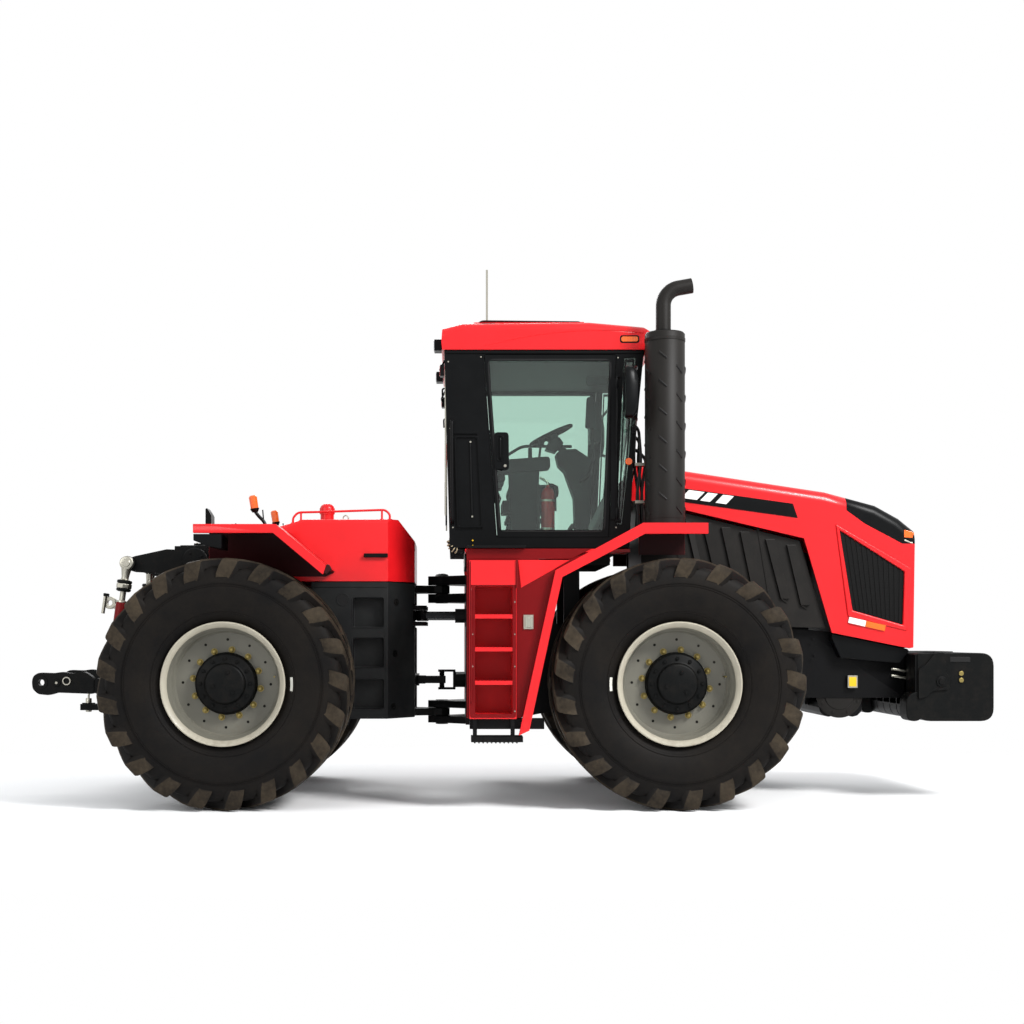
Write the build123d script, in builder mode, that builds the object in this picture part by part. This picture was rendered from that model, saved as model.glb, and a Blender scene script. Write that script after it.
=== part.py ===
"""Articulated four-wheel-drive farm tractor.

Millimetres.  +X points to the nose, +Y to the tractor's left, +Z up; the
origin is on the ground, midway between the ends and the sides.
The front half carries engine, cab and hood; the rear half carries the fuel
tank and the three-point linkage.  A vertical hinge joins the halves.
Side-view outlines are lists of (x, z); plan outlines are lists of (x, y).
"""
import os
from math import cos, pi, sin

from build123d import *

os.makedirs("parts", exist_ok=True)

# ---- driving dimensions ---------------------------------------------------
WHEELBASE = 3250
TRACK = 2160
FRONT_AXLE_X = 1193
REAR_AXLE_X = FRONT_AXLE_X - WHEELBASE
HINGE_X = -509                      # vertical axis between the two halves

# ---- wheels ---------------------------------------------------------------
TYRE_RADIUS = 905                   # to the tips of the lugs
TYRE_SIDES = 20                     # flats round the carcass
LUGS_PER_SIDE = 20
LUG_ROOT = 825
BEAD_HALF = 400                     # half length of the bore through the tyre
RIM_SEAT = 420                      # radius of the bead seat
RIM_EDGE = 358                      # outer plane of the rim from its middle
RIM_FLANGE = 442
RIM_SIDES = 20
DISC_OFFSET = 131                   # wheel disc from the middle plane
DISC_HOLE = 150
HUB_SIDES = 10
AXLE_Z = TYRE_RADIUS * cos(30 / TYRE_RADIUS)   # a lug's flat top lies on the ground

CARCASS_RADIUS = 838
CARCASS_HALF = 391
# hollow in each sidewall, from the bead outwards: distance from the middle plane, radius
SIDEWALL = [(306, 446), (CARCASS_HALF, 650), (CARCASS_HALF + 20, 655)]
# one lug: distance from the middle plane, trailing distance, top radius, half thickness
LUG_STATIONS = [(22, 0, 905, 30), (386, 300, 895, 42)]

# outside of the rim and the two dishes in it: distance outboard, radius
RIM_OUTSIDE = [(-RIM_EDGE, RIM_FLANGE), (-RIM_EDGE + 42, RIM_SEAT), (RIM_EDGE - 42, RIM_SEAT),
               (RIM_EDGE, RIM_FLANGE)]
RIM_DISH_OUT = [(DISC_OFFSET + 9, 376), (RIM_EDGE, 402)]
RIM_DISH_IN = [(-RIM_EDGE, 402), (DISC_OFFSET - 9, 376)]
# planetary hub in front of the disc: distance outboard, radius
HUB = [(DISC_OFFSET + 9, 222), (DISC_OFFSET + 92, 214), (DISC_OFFSET + 118, 136), (DISC_OFFSET + 150, 126)]

# axle housing, half of it: distance from the middle, radius
AXLE_HOUSING = [(110, 235), (180, 150), (530, 150), (548, 210), (TRACK / 2 + DISC_OFFSET - 14, 210)]
AXLE_SIDES = 8
AXLE_PAD_Y = 415

# ---- halves ---------------------------------------------------------------
RAIL_OUT = 430                      # outer face of the front frame rails
RAIL_THICK = 40
RAIL_IN = RAIL_OUT - RAIL_THICK
REAR_RAIL = (190, 230)
HINGE_PIN = 50                      # radius of both hinge pins
EAR_UPPER = (1590, 1650)            # rear half's ears, between the front half's forks
EAR_LOWER = (617, 673)
FORK_GAP = 6
SHAFT_Z = 900                       # driveshaft through the hinge
CYL_Z = 1409                        # steering cylinders
CYL_EYE = (-669, 260)
CYL_ANCHOR = (127, 270)
CYL_WINDOW = (CYL_Z - 85, CYL_Z + 85)   # heights of the gap the cylinders pass through
CYL_WEB = 110
CYL_RADIUS = 55
CYL_ROD = 32
BARREL_END = 530                    # from the anchor, along the cylinder

CAB_HALF = 850
CAB_WALL = 50
CAB_FLOOR_Z = 1907
CAB_TOP_Z = 3388
DOOR_THICK = 42
DOOR_HINGE = (803, CAB_HALF + 14)   # vertical axis of each door's hinge: x, distance from the middle
DOOR_HINGE_Z = (2120, 3180)         # ends of the door's hinge barrel
GLASS = 8
HOOD_HALF = 560
HOOD_SKIN = 22
HOOD_SHOULDER = 80                  # radius along the top edges of the hood
HOOD_HINGE = (1000, 2508)           # x, z of the hood's hinge tube
HOOD_HINGE_HALF = 60
FENDER_OUT = 1400
SKIN = 14
WEIGHT_HALF = 750
SIDES = (("right", -1), ("left", 1))

# ---- rear linkage: x, z of the pins in the side view ----------------------
ROCKSHAFT = (-2420, 1835)
ARM_TIP = (-2935, 1810)
LINK_PIN = (-2480, 790)
LINK_ROD_PIN = (-3060, 850)
LINK_BALL = (-3590, 890)
TOP_LINK_PIN = (-2680, 1330)
TOP_LINK_END = (-3170, 1515)
ARM_Y = 400
LINK_Y = 480
BALL_BORE = 25.4
TOP_LINK_BORE = 22.5


# ---- small helpers --------------------------------------------------------
def slab(points, y_low, y_high, mode=Mode.ADD):
    """Extrude an (x, z) outline across the tractor between two y values."""
    with BuildSketch(Plane.XZ.offset(-y_high)) as outline:
        with BuildLine():
            Polyline(*points, close=True)
        make_face()
    extrude(outline.sketch, amount=y_high - y_low, mode=mode)


def plate(points, z_low, z_high, mode=Mode.ADD):
    """Extrude an (x, y) outline upwards between two heights."""
    with BuildSketch(Plane.XY.offset(z_low)) as outline:
        with BuildLine():
            Polyline(*points, close=True)
        make_face()
    extrude(outline.sketch, amount=z_high - z_low, mode=mode)


def block(x, y, z, mode=Mode.ADD):
    """Add a box between (low, high) pairs."""
    with Locations(((x[0] + x[1]) / 2, (y[0] + y[1]) / 2, (z[0] + z[1]) / 2)):
        Box(x[1] - x[0], y[1] - y[0], z[1] - z[0], mode=mode)


def rod(start, end, radius, sides=8, mode=Mode.ADD):
    """Add a bar between two points, with this many flats, or truly round with none."""
    run = Vector(*end) - Vector(*start)
    with BuildSketch(Plane(origin=start, z_dir=run)) as section:
        if sides:
            RegularPolygon(radius, sides)
        else:
            Circle(radius)
    extrude(section.sketch, amount=run.length, mode=mode)


def cross_rod(x, z, radius, y_low, y_high, sides=8, mode=Mode.ADD):
    """Add a bar along Y."""
    rod((x, y_low, z), (x, y_high, z), radius, sides, mode)


def bent_rod(points, radius, sides=6):
    """Add a bar through several points."""
    for start, end in zip(points, points[1:]):
        rod(start, end, radius, sides)


def ring(plane, radius, sides):
    """Corners of a regular polygon on a plane."""
    turns = [2 * pi * step / sides for step in range(sides)]
    return [tuple(plane.from_local_coords((radius * cos(turn), radius * sin(turn), 0))) for turn in turns]


def join_rings(rings, mode=Mode.ADD):
    """Fill between each two neighbouring rings of corners with flat faces."""
    for first, second in zip(rings, rings[1:]):
        ConvexPolyhedron(first + second, mode=mode)


def drum(stations, x, y, side, sides, mode=Mode.ADD):
    """Add a many-sided drum, as rings (distance outboard, radius), about a wheel's axis."""
    join_rings([ring(Plane((x, y + side * out, AXLE_Z), x_dir=(1, 0, 0), z_dir=(0, 1, 0)), radius, sides)
                for out, radius in stations], mode)


def top_edges(part, points, half):
    """The edges of an extruded side outline that run along these (x, z) points."""
    middles = [((a[0] + b[0]) / 2, (a[1] + b[1]) / 2) for a, b in zip(points, points[1:])]
    return [edge for edge in part.edges()
            if abs(abs(edge.center().Y) - half) < 1
            and any(abs(edge.center().X - x) < 1 and abs(edge.center().Z - z) < 1 for x, z in middles)]


# ---- wheels ---------------------------------------------------------------
def lug_corners(side):
    """Corners of one lug, as a straight bar laid across half of the tread."""
    corners = []
    for reach, trail, top, half in LUG_STATIONS:
        for radius, spread in ((top, half), (LUG_ROOT, half + 8)):
            for way in (-1, 1):
                angle = (-trail + way * spread) / radius
                corners.append((radius * sin(angle), side * reach, radius * cos(angle)))
    return corners


def make_tyre(x, side):
    """Carcass with a chevron tread; the lugs' inner ends lead at the top."""
    y = side * TRACK / 2
    pitch = 360 / LUGS_PER_SIDE
    with BuildPart() as tyre:
        drum([(-CARCASS_HALF, CARCASS_RADIUS), (CARCASS_HALF, CARCASS_RADIUS)], x, y, 1, TYRE_SIDES)
        for way in (-1, 1):
            drum(SIDEWALL, x, y, way, TYRE_SIDES, Mode.SUBTRACT)
        for half, phase in ((1, 0), (-1, pitch / 2)):
            spots = [Location((x, y, AXLE_Z), (0, phase + step * pitch, 0))
                     for step in range(LUGS_PER_SIDE)]
            with Locations(*spots):
                ConvexPolyhedron(lug_corners(half))
        bore = RIM_SEAT / cos(pi / TYRE_SIDES)
        drum([(-BEAD_HALF, bore), (BEAD_HALF, bore)], x, y, 1, TYRE_SIDES, Mode.SUBTRACT)
    return tyre


def make_rim(x, side):
    """Dished rim and disc, with the black planetary hub standing in the dish."""
    y = side * TRACK / 2
    with BuildPart() as rim:
        drum(RIM_OUTSIDE, x, y, side, RIM_SIDES)
        drum(RIM_DISH_OUT, x, y, side, RIM_SIDES, Mode.SUBTRACT)
        drum(RIM_DISH_IN, x, y, side, RIM_SIDES, Mode.SUBTRACT)
        bore = [(DISC_OFFSET - 10, DISC_HOLE), (DISC_OFFSET + 10, DISC_HOLE)]
        drum(bore, x, y, side, HUB_SIDES, Mode.SUBTRACT)
        drum(HUB, x, y, side, HUB_SIDES)
    return rim


def make_axle(x):
    """Axle housing with its differential and the planetary ends inside the rims."""
    stations = [(-out, radius) for out, radius in reversed(AXLE_HOUSING)] + AXLE_HOUSING
    end = AXLE_HOUSING[-1][0]
    with BuildPart() as axle:
        drum(stations, x, 0, 1, AXLE_SIDES)
        for side in (-1, 1):
            drum([(end, 100), (end + 12, 100)], x, 0, side, HUB_SIDES)
            pad = side * AXLE_PAD_Y
            block((x - 190, x + 190), (pad - 75, pad + 75), (AXLE_Z + 60, AXLE_Z + 178))
    return axle


# ---- front half -----------------------------------------------------------
FRONT_RAIL = [(-400, 560), (-400, 1720), (-40, 1720), (400, 1330), (1300, 1330), (2300, 1300), (3080, 1228),
              (3080, 770), (1780, 770), (1480, 1083), (900, 1083), (620, 720), (-180, 560)]
# plan of one of the front half's fork plates
FORK = [(-400, -260), (HINGE_X, -95), (HINGE_X - 110, -50), (HINGE_X - 110, 50), (HINGE_X, 95), (-400, 260)]


def make_front_frame():
    """Two rails and the cross members between them."""
    with BuildPart() as frame:
        slab(FRONT_RAIL, RAIL_IN, RAIL_OUT)
        mirror(about=Plane.XZ)
        # cross members: x pair, z pair
        for x, z in (((3020, 3080), (770, 1228)), ((560, 640), (740, 1250)), ((1900, 1960), (790, 860)),
                     ((-330, 560), (1240, 1330))):
            block(x, (-RAIL_IN, RAIL_IN), z)
        x, y = CYL_ANCHOR
        for side in (-1, 1):
            block((x - 40, x + 60), (side * y - 38, side * y + 38), (1330, CYL_Z - 66))
            rod((x, side * y, CYL_Z - 70), (x, side * y, CYL_Z + 70), 22)
    return frame


def make_hinge_bulkhead():
    """Cross member at the rear of the front frame, with the forks that hold the hinge pins."""
    forks = [(EAR_UPPER[1] + FORK_GAP, EAR_UPPER[1] + 76), (EAR_UPPER[0] - 76, EAR_UPPER[0] - FORK_GAP),
             (EAR_LOWER[1] + FORK_GAP, EAR_LOWER[1] + 60), (EAR_LOWER[0] - 60, EAR_LOWER[0] - FORK_GAP)]
    plate_x = (-400, -330)
    with BuildPart() as bulkhead:
        block(plate_x, (-RAIL_IN, RAIL_IN), (560, CYL_WINDOW[0]))
        block(plate_x, (-CYL_WEB, CYL_WEB), CYL_WINDOW)
        block(plate_x, (-RAIL_IN, RAIL_IN), (CYL_WINDOW[1], 1720))
        rod((-410, 0, SHAFT_Z), (-320, 0, SHAFT_Z), 125, 10, Mode.SUBTRACT)
        for low, high in forks:
            plate(FORK, low, high)
        rod((HINGE_X, 0, forks[1][0] - 4), (HINGE_X, 0, forks[0][1] + 14), HINGE_PIN, 12)
        rod((HINGE_X, 0, forks[3][0] - 13), (HINGE_X, 0, forks[2][1] + 6), HINGE_PIN, 12)
    return bulkhead


def make_engine():
    """A plain block where the engine is."""
    with BuildPart() as engine:
        slab([(1560, 900), (1560, 1960), (2360, 1900), (2400, 1500), (2300, 860), (1780, 860)], -300, 300)
    return engine


def make_cooling_pack():
    with BuildPart() as cooling:
        block((2520, 2860), (-385, 385), (1232, 1960))
    return cooling


# ---- cab ------------------------------------------------------------------
CAB_SIDE = [(-445, CAB_FLOOR_Z), (-485, CAB_TOP_Z), (1010, CAB_TOP_Z), (930, 2560), (900, CAB_FLOOR_Z)]
DOOR_SIDE = [(-88, 1995), (-185, 3350), (800, 3350), (742, 1995)]
DOOR_GLASS = [(-58, 2042), (-148, 3305), (752, 3305), (702, 2042)]
PRESSED_PANEL = [(-400, 2040), (-425, 2760), (-240, 2760), (-200, 2040)]
WINDOW_TOP = CAB_TOP_Z - 60


def inset(points, amount):
    """The same outline, moved inwards all round."""
    middle_x = sum(x for x, _ in points) / len(points)
    middle_z = sum(z for _, z in points) / len(points)
    return [(x + amount * (1 if x < middle_x else -1), z + amount * (1 if z < middle_z else -1))
            for x, z in points]


def make_cab_shell():
    with BuildPart() as shell:
        slab(CAB_SIDE, -CAB_HALF, CAB_HALF)
        slab(inset(CAB_SIDE, CAB_WALL), -CAB_HALF + CAB_WALL, CAB_HALF - CAB_WALL, Mode.SUBTRACT)
        slab(inset(DOOR_SIDE, -6), -CAB_HALF - 1, CAB_HALF + 1, Mode.SUBTRACT)
        # windscreen and rear window
        block((700, 1100), (-CAB_HALF + 90, CAB_HALF - 90), (2080, WINDOW_TOP), Mode.SUBTRACT)
        block((-600, -380), (-CAB_HALF + 230, CAB_HALF - 230), (2300, WINDOW_TOP), Mode.SUBTRACT)
        # front quarter windows
        slab([(845, 2080), (895, 2560), (950, WINDOW_TOP), (858, WINDOW_TOP), (805, 2080)],
             -CAB_HALF - 1, CAB_HALF + 1, Mode.SUBTRACT)
        # open roof, closed by the roof cap
        block((-400, 930), (-CAB_HALF + 90, CAB_HALF - 90), (CAB_TOP_Z - 70, CAB_TOP_Z + 1), Mode.SUBTRACT)
        # pressed panel behind each door
        for side in (-1, 1):
            depth = sorted((side * (CAB_HALF + 1), side * (CAB_HALF - 14)))
            slab(PRESSED_PANEL, *depth, Mode.SUBTRACT)
        # sub-frame below the floor, on four mounts
        block((-330, 780), (-600, 600), (1790, CAB_FLOOR_Z))
        for side in (-1, 1):
            lug = sorted((side * (CAB_HALF - 10), side * (DOOR_HINGE[1] + 12)))
            for z in (DOOR_HINGE_Z[0] - 20, DOOR_HINGE_Z[1]):
                block((DOOR_HINGE[0] + 3 - 12, DOOR_HINGE[0] + 30), lug, (z, z + 20))
            block((-260, -100), (side * 400 - 30, side * 400 + 30), (1720, 1790))
            block((440, 560), (side * 400 - 30, side * 400 + 30), (1330, 1790))
    return shell


def make_cab_glass():
    """Windscreen, rear window and the two narrow front quarter windows."""
    top = WINDOW_TOP - 4
    with BuildPart() as glass:
        slab([(905, 2084), (936, 2560), (998, top), (990, top), (928, 2560), (897, 2084)],
             -CAB_HALF + 94, CAB_HALF - 94)
        slab([(-453, 2304), (-479, top), (-471, top), (-445, 2304)], -CAB_HALF + 234, CAB_HALF - 234)
        for side in (-1, 1):
            y = side * (CAB_HALF - 20)
            slab([(845, 2084), (895, 2560), (946, top), (862, top), (809, 2084)],
                 y - GLASS / 2, y + GLASS / 2)
    return glass


def make_door(side):
    """A frame door, as thick as the wall, with its window cut."""
    y_low, y_high = sorted((side * (CAB_HALF - DOOR_THICK), side * CAB_HALF))
    with BuildPart() as door:
        slab(DOOR_SIDE, y_low, y_high)
        slab(DOOR_GLASS, y_low - 1, y_high + 1, Mode.SUBTRACT)
        x, out = DOOR_HINGE
        rod((x, side * out, DOOR_HINGE_Z[0]), (x, side * out, DOOR_HINGE_Z[1]), 10, 0)
        strap = sorted((side * CAB_HALF, side * (out + 4)))
        block((x - 45, x), strap, DOOR_HINGE_Z)
    return door


def make_door_glass(side):
    y = side * (CAB_HALF - 18)
    with BuildPart() as glass:
        slab(DOOR_GLASS, y - GLASS / 2, y + GLASS / 2)
    return glass


ROOF_TOP = [(-500, 3552), (-350, 3590), (600, 3600), (1000, 3565)]


def make_cab_roof():
    """Crowned roof cap with its visor, side rail and antenna."""
    half = CAB_HALF + 15
    profile = [(-507, 3450)] + ROOF_TOP + [(1085, 3500), (1060, 3350), (1014, 3350), (1014, CAB_TOP_Z),
                                           (-500, CAB_TOP_Z)]
    with BuildPart() as roof:
        slab(profile, -half, half)
        fillet(top_edges(roof, ROOF_TOP, half), 60)
        rod((-148, 0, 3580), (-148, 0, 4187), 8, 6)
        for x in (-255, 553):
            block((x - 8, x + 8), (-CAB_HALF + 90, -CAB_HALF + 106), (3560, 3604))
        rod((-263, -CAB_HALF + 98, 3604), (568, -CAB_HALF + 98, 3608), 10, 6)
    return roof


def make_seat():
    with BuildPart() as seat:
        slab([(-40, 1957), (-40, 2260), (-130, 2300), (-190, 2900), (-70, 2900), (0, 2440), (430, 2450),
              (430, 2330), (330, 2290), (300, 1957)], -260, 260)
    return seat


# the steering wheel's underside, facing up and back
WHEEL_PLANE = Plane(origin=(372, 0, 2850), z_dir=(-0.42, 0, 0.91))
WHEEL_RADIUS = 190
WHEEL_SIDES = 14


def make_console():
    """Steering column on its pedestal, with the wheel."""
    with BuildPart() as console:
        slab([(570, 1957), (545, 2400), (470, 2700), (540, 2712), (650, 2420), (710, 1957)], -70, 70)
        with BuildSketch(WHEEL_PLANE) as rim:
            RegularPolygon(WHEEL_RADIUS, WHEEL_SIDES)
            RegularPolygon(WHEEL_RADIUS - 24, WHEEL_SIDES, mode=Mode.SUBTRACT)
        extrude(rim.sketch, amount=24)
        with BuildSketch(WHEEL_PLANE) as spokes:
            Rectangle(26, 2 * WHEEL_RADIUS - 20)
            RegularPolygon(40, 8)
        extrude(spokes.sketch, amount=20)
        rod((500, 0, 2690), (368, 0, 2860), 30, 6)
    return console


# ---- hood -----------------------------------------------------------------
# the hood's top line, outside and inside
HOOD_TOP = [(985, 2555), (1371, 2519), (2439, 2357), (2830, 2252), (3010, 2152), (3123, 2060)]
CORE_TOP = [(960, 2530), (1371, 2497), (2436, 2335), (2824, 2230), (2998, 2133), (3100, 2050)]
HOOD_SIDE = [(925, 2290)] + HOOD_TOP + [(3110, 1160), (3080, 1154), (2485, 1274), (2272, 1998), (1371, 2212)]
HOOD_CORE = [(900, 2250)] + CORE_TOP + [(3088, 1100), (2470, 1240), (2250, 1960), (1371, 2190)]
GRILLE_SIDE = [(2541, 2064), (3045, 1745), (3030, 1330), (2640, 1441)]
NOSE_CAP = [(2597, 2212), (2597, 2400), (3200, 2100), (3200, 1956), (3025, 1956), (2737, 2110)]
NOSE_WINDOW = ((-HOOD_HALF + 90, HOOD_HALF - 90), (1330, 1930))
# ear beside the hood's hinge tube: its top stays inside the skin's sweep
HINGE_EAR = [(986, 2478), (986, 2514), (992, 2521), (1008, 2521), (1060, 2440), (1060, 2380), (1040, 2380)]
# slanted louvres of the side panels: top x, z and bottom x, z
LOUVRES = [(1496, 2118, 1610, 1640), (1642, 2085, 1750, 1600), (1788, 2050, 1890, 1560),
           (1983, 1992, 2102, 1534), (2146, 1949, 2255, 1484)]


def hood_form():
    """The hood's open-bottomed shell, with rounded shoulders."""
    with BuildPart(mode=Mode.PRIVATE) as outside:
        slab(HOOD_SIDE, -HOOD_HALF, HOOD_HALF)
        fillet(top_edges(outside, HOOD_TOP, HOOD_HALF), HOOD_SHOULDER)
    with BuildPart(mode=Mode.PRIVATE) as inside:
        slab(HOOD_CORE, -HOOD_HALF + HOOD_SKIN, HOOD_HALF - HOOD_SKIN)
        chamfer(top_edges(inside, CORE_TOP, HOOD_HALF - HOOD_SKIN), HOOD_SHOULDER * 0.45)
    return outside.part - inside.part


def make_hood():
    with BuildPart() as hood:
        add(hood_form())
        slab(GRILLE_SIDE, -HOOD_HALF - 1, HOOD_HALF + 1, Mode.SUBTRACT)
        block((3060, 3140), *NOSE_WINDOW, Mode.SUBTRACT)
        slab(NOSE_CAP, -HOOD_HALF - 1, HOOD_HALF + 1, Mode.SUBTRACT)
        x, z = HOOD_HINGE
        cross_rod(x, z, 14, -HOOD_HINGE_HALF, HOOD_HINGE_HALF, 0)
        block((x - 12, x + 12), (-HOOD_HINGE_HALF, HOOD_HINGE_HALF), (z, z + 30))
    return hood


def make_nose_cap():
    """Black visor over the nose, cut from the same shell."""
    with BuildPart() as cap:
        add(hood_form())
        slab(NOSE_CAP, -HOOD_HALF - 1, HOOD_HALF + 1, Mode.INTERSECT)
    return cap


def make_hood_grilles():
    """Mesh screens: one in each flank of the nose and one in its front."""
    with BuildPart() as grilles:
        for side in (-1, 1):
            y = side * (HOOD_HALF - 11)
            slab(GRILLE_SIDE, y - 4, y + 4)
        block((3092, 3100), *NOSE_WINDOW)
    return grilles


def make_louvre_panels():
    """Fixed black side panels with slanted louvres, and the bulkhead behind the engine."""
    outline = [(1030, 1336), (1030, 2250), (1371, 2195), (2252, 1982), (2450, 1310), (1300, 1336)]
    with BuildPart() as panels:
        slab(outline, HOOD_HALF - 75, HOOD_HALF - 50)
        for top_x, top_z, low_x, low_z in LOUVRES:
            slab([(top_x, top_z), (low_x, low_z), (low_x + 70, low_z), (top_x + 70, top_z)],
                 HOOD_HALF - 51, HOOD_HALF - 27)
        for x in (1400, 2100):
            block((x, x + 40), (RAIL_OUT, HOOD_HALF - 60), (1345, 1420))
        mirror(about=Plane.XZ)
        block((1040, 1060), (-HOOD_HALF + 60, HOOD_HALF - 60), (1336, 2440))
        x, z = HOOD_HINGE
        for side in (-1, 1):
            ear = sorted((side * HOOD_HINGE_HALF, side * (HOOD_HINGE_HALF + 16)))
            slab(HINGE_EAR, *ear)
    return panels


def make_nose_cowl():
    with BuildPart() as cowl:
        slab([(2491, 1232), (2491, 1268), (3080, 1148), (3089, 1134), (3014, 1040), (2560, 1080)], 432, 520)
        mirror(about=Plane.XZ)
    return cowl


# ---- fenders and ladders --------------------------------------------------
# crest of the front fender
FENDER_CREST = [(50, 538), (312, 1717), (937, 2055), (1400, 2055)]
FENDER_UNDER = [(1400, 1978), (952, 1978), (360, 1668), (125, 573)]
TREADS = (1387, 1152, 913)
WELL_X = (-263, 7)
WELL_Z = (690, 1604)


def make_front_fenders():
    with BuildPart() as fenders:
        slab(FENDER_CREST + FENDER_UNDER, FENDER_OUT - 60, FENDER_OUT)
        slab(FENDER_CREST[1:] + [(1400, 2055 - SKIN), (940, 2055 - SKIN), (322, 1700)],
             CAB_HALF + 8, FENDER_OUT - 60)
        slab([(1020, 2041), (1020, 2055), (1400, 2055), (1400, 2041)], 580, CAB_HALF + 8)
        # apron that closes the fender above the tyre
        block((960, 1300), (FENDER_OUT - 470, FENDER_OUT - 456), (1850, 2041))
        slab([(322, 1700), (330, 1690), (930, 2020), (1400, 2020), (1400, 2041), (940, 2041)], CAB_HALF + 8,
             CAB_HALF + 28)
        mirror(about=Plane.XZ)
    return fenders


def make_ladders():
    """Side panels with a ladder well in each, and the step that hangs below."""
    wall = FENDER_OUT - 240
    with BuildPart() as ladders:
        slab([(-320, 660), (-320, 1876), (86, 1876), (300, 1717), (60, 660)],
             FENDER_OUT - 96, FENDER_OUT - 66)
        block((-302, 34), (wall - 12, FENDER_OUT - 20), (655, 1789))
        block(WELL_X, (wall, FENDER_OUT), WELL_Z, Mode.SUBTRACT)
        for z in TREADS:
            block(WELL_X, (wall, FENDER_OUT - 20), (z - 15, z + 15))
        for x in WELL_X:
            block((x - 15, x + 15), (FENDER_OUT - 60, FENDER_OUT - 30), (530, 655))
        block((-290, 80), (FENDER_OUT - 200, FENDER_OUT), (490, 530))
        mirror(about=Plane.XZ)
    return ladders


def make_cab_decks():
    """Platforms outside the doors, carried by the cab's sub-frame."""
    with BuildPart() as decks:
        block((-320, 100), (604, FENDER_OUT - 20), (1876, 1895))
        block((-300, 60), (604, 640), (1795, 1880))
        mirror(about=Plane.XZ)
    return decks


STACK = (1132, -1090)
PIPE_X = STACK[0] - 11
PIPE_RADIUS = 56
ELBOW_Z = 3668                      # where the tail pipe starts to bend
ELBOW_RADIUS = 130
ELBOW_TURN = 80 * pi / 180
ELBOW_STEPS = 4


def make_exhaust():
    """Silencer shield and the bent tail pipe."""
    x, y = STACK
    with BuildPart() as stack:
        rod((x, y, 2055), (x, y, 3468), 147, 18)
        turns = [ELBOW_TURN * step / ELBOW_STEPS for step in range(ELBOW_STEPS + 1)]
        bend = [Plane((PIPE_X + ELBOW_RADIUS * (1 - cos(turn)), y, ELBOW_Z + ELBOW_RADIUS * sin(turn)),
                      x_dir=(0, 1, 0), z_dir=(sin(turn), 0, cos(turn))) for turn in turns]
        foot = Plane((PIPE_X, y, 3468), x_dir=(0, 1, 0), z_dir=(0, 0, 1))
        mouth = Plane((1322, y, bend[-1].origin.Z + 14), x_dir=(0, 1, 0), z_dir=(0.9, 0, -0.4))
        join_rings([ring(plane, PIPE_RADIUS, 10) for plane in [foot] + bend + [mouth]])
    return stack


def make_mirrors():
    with BuildPart() as mirrors:
        block((830, 905), (-1360, -1150), (2815, 3198))
        for z in (2880, 3120):
            rod((880, -850, z), (870, -1200, z), 14, 6)
        mirror(about=Plane.XZ)
    return mirrors


def make_work_lamps():
    """Lamps on the rear edge of the roof."""
    with BuildPart() as lamps:
        block((-570, -507), (-780, -640), (3395, 3485))
        mirror(about=Plane.XZ)
    return lamps


# ---- front end ------------------------------------------------------------
WEIGHT_BACK = 3085
WEIGHT_SIDE = [(WEIGHT_BACK, 605), (WEIGHT_BACK, 1120), (3625, 1120), (3663, 1080), (3663, 645), (3620, 605)]
WEIGHT_CORE = [(WEIGHT_BACK + 8, 620), (WEIGHT_BACK + 8, 1105), (3615, 1105), (3645, 1070), (3645, 650),
               (3612, 620)]
WEIGHTS = 8
WEIGHT_GAP = 8


def make_weight_carrier():
    with BuildPart() as carrier:
        block((3140, 3500), (-300, 300), (1122, 1180))
        block((3080, 3200), (-420, 420), (1122, 1140))
    return carrier


def make_front_weights():
    """Slab weights side by side, clamped into one stack."""
    pitch = 2 * WEIGHT_HALF / WEIGHTS
    with BuildPart() as weights:
        slab(WEIGHT_CORE, -WEIGHT_HALF + 20, WEIGHT_HALF - 20)
        for step in range(WEIGHTS):
            low = -WEIGHT_HALF + step * pitch + WEIGHT_GAP / 2 * (step > 0)
            high = -WEIGHT_HALF + (step + 1) * pitch - WEIGHT_GAP / 2 * (step < WEIGHTS - 1)
            slab(WEIGHT_SIDE, low, high)
    return weights


def make_air_tanks():
    with BuildPart() as tanks:
        for x in (2500, 2685):
            cross_rod(x, 695, 75, -400, 400, 12)
        block((2400, 2780), (-30, 30), (700, 800))
    return tanks


def make_driveshaft_front():
    """Shaft under the cab with the front fork of the centre joint."""
    with BuildPart() as shaft:
        rod((-315, 0, SHAFT_Z), (500, 0, SHAFT_Z), 55, 8)
        for z in (SHAFT_Z - 80, SHAFT_Z + 62):
            block((HINGE_X - 30, -400), (-30, 30), (z, z + 18))
        block((-420, -400), (-30, 30), (SHAFT_Z - 80, SHAFT_Z + 80))
        rod((-420, 0, SHAFT_Z), (-310, 0, SHAFT_Z), 62, 8)
        rod((HINGE_X, 0, SHAFT_Z - 64), (HINGE_X, 0, SHAFT_Z + 64), 20, 8)
    return shaft


# ---- rear half ------------------------------------------------------------
REAR_FRAME_SIDE = [(-760, 640), (-760, 1500), (-2560, 1500), (-2560, 700), (-2400, 640), (-2330, 1083),
                   (-1780, 1083), (-1600, 640)]
EAR = [(-760, -170), (HINGE_X - 60, -88), (HINGE_X, -88), (HINGE_X + 62, -62), (HINGE_X + 62, 62),
       (HINGE_X, 88), (HINGE_X - 60, 88), (-760, 170)]


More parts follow.
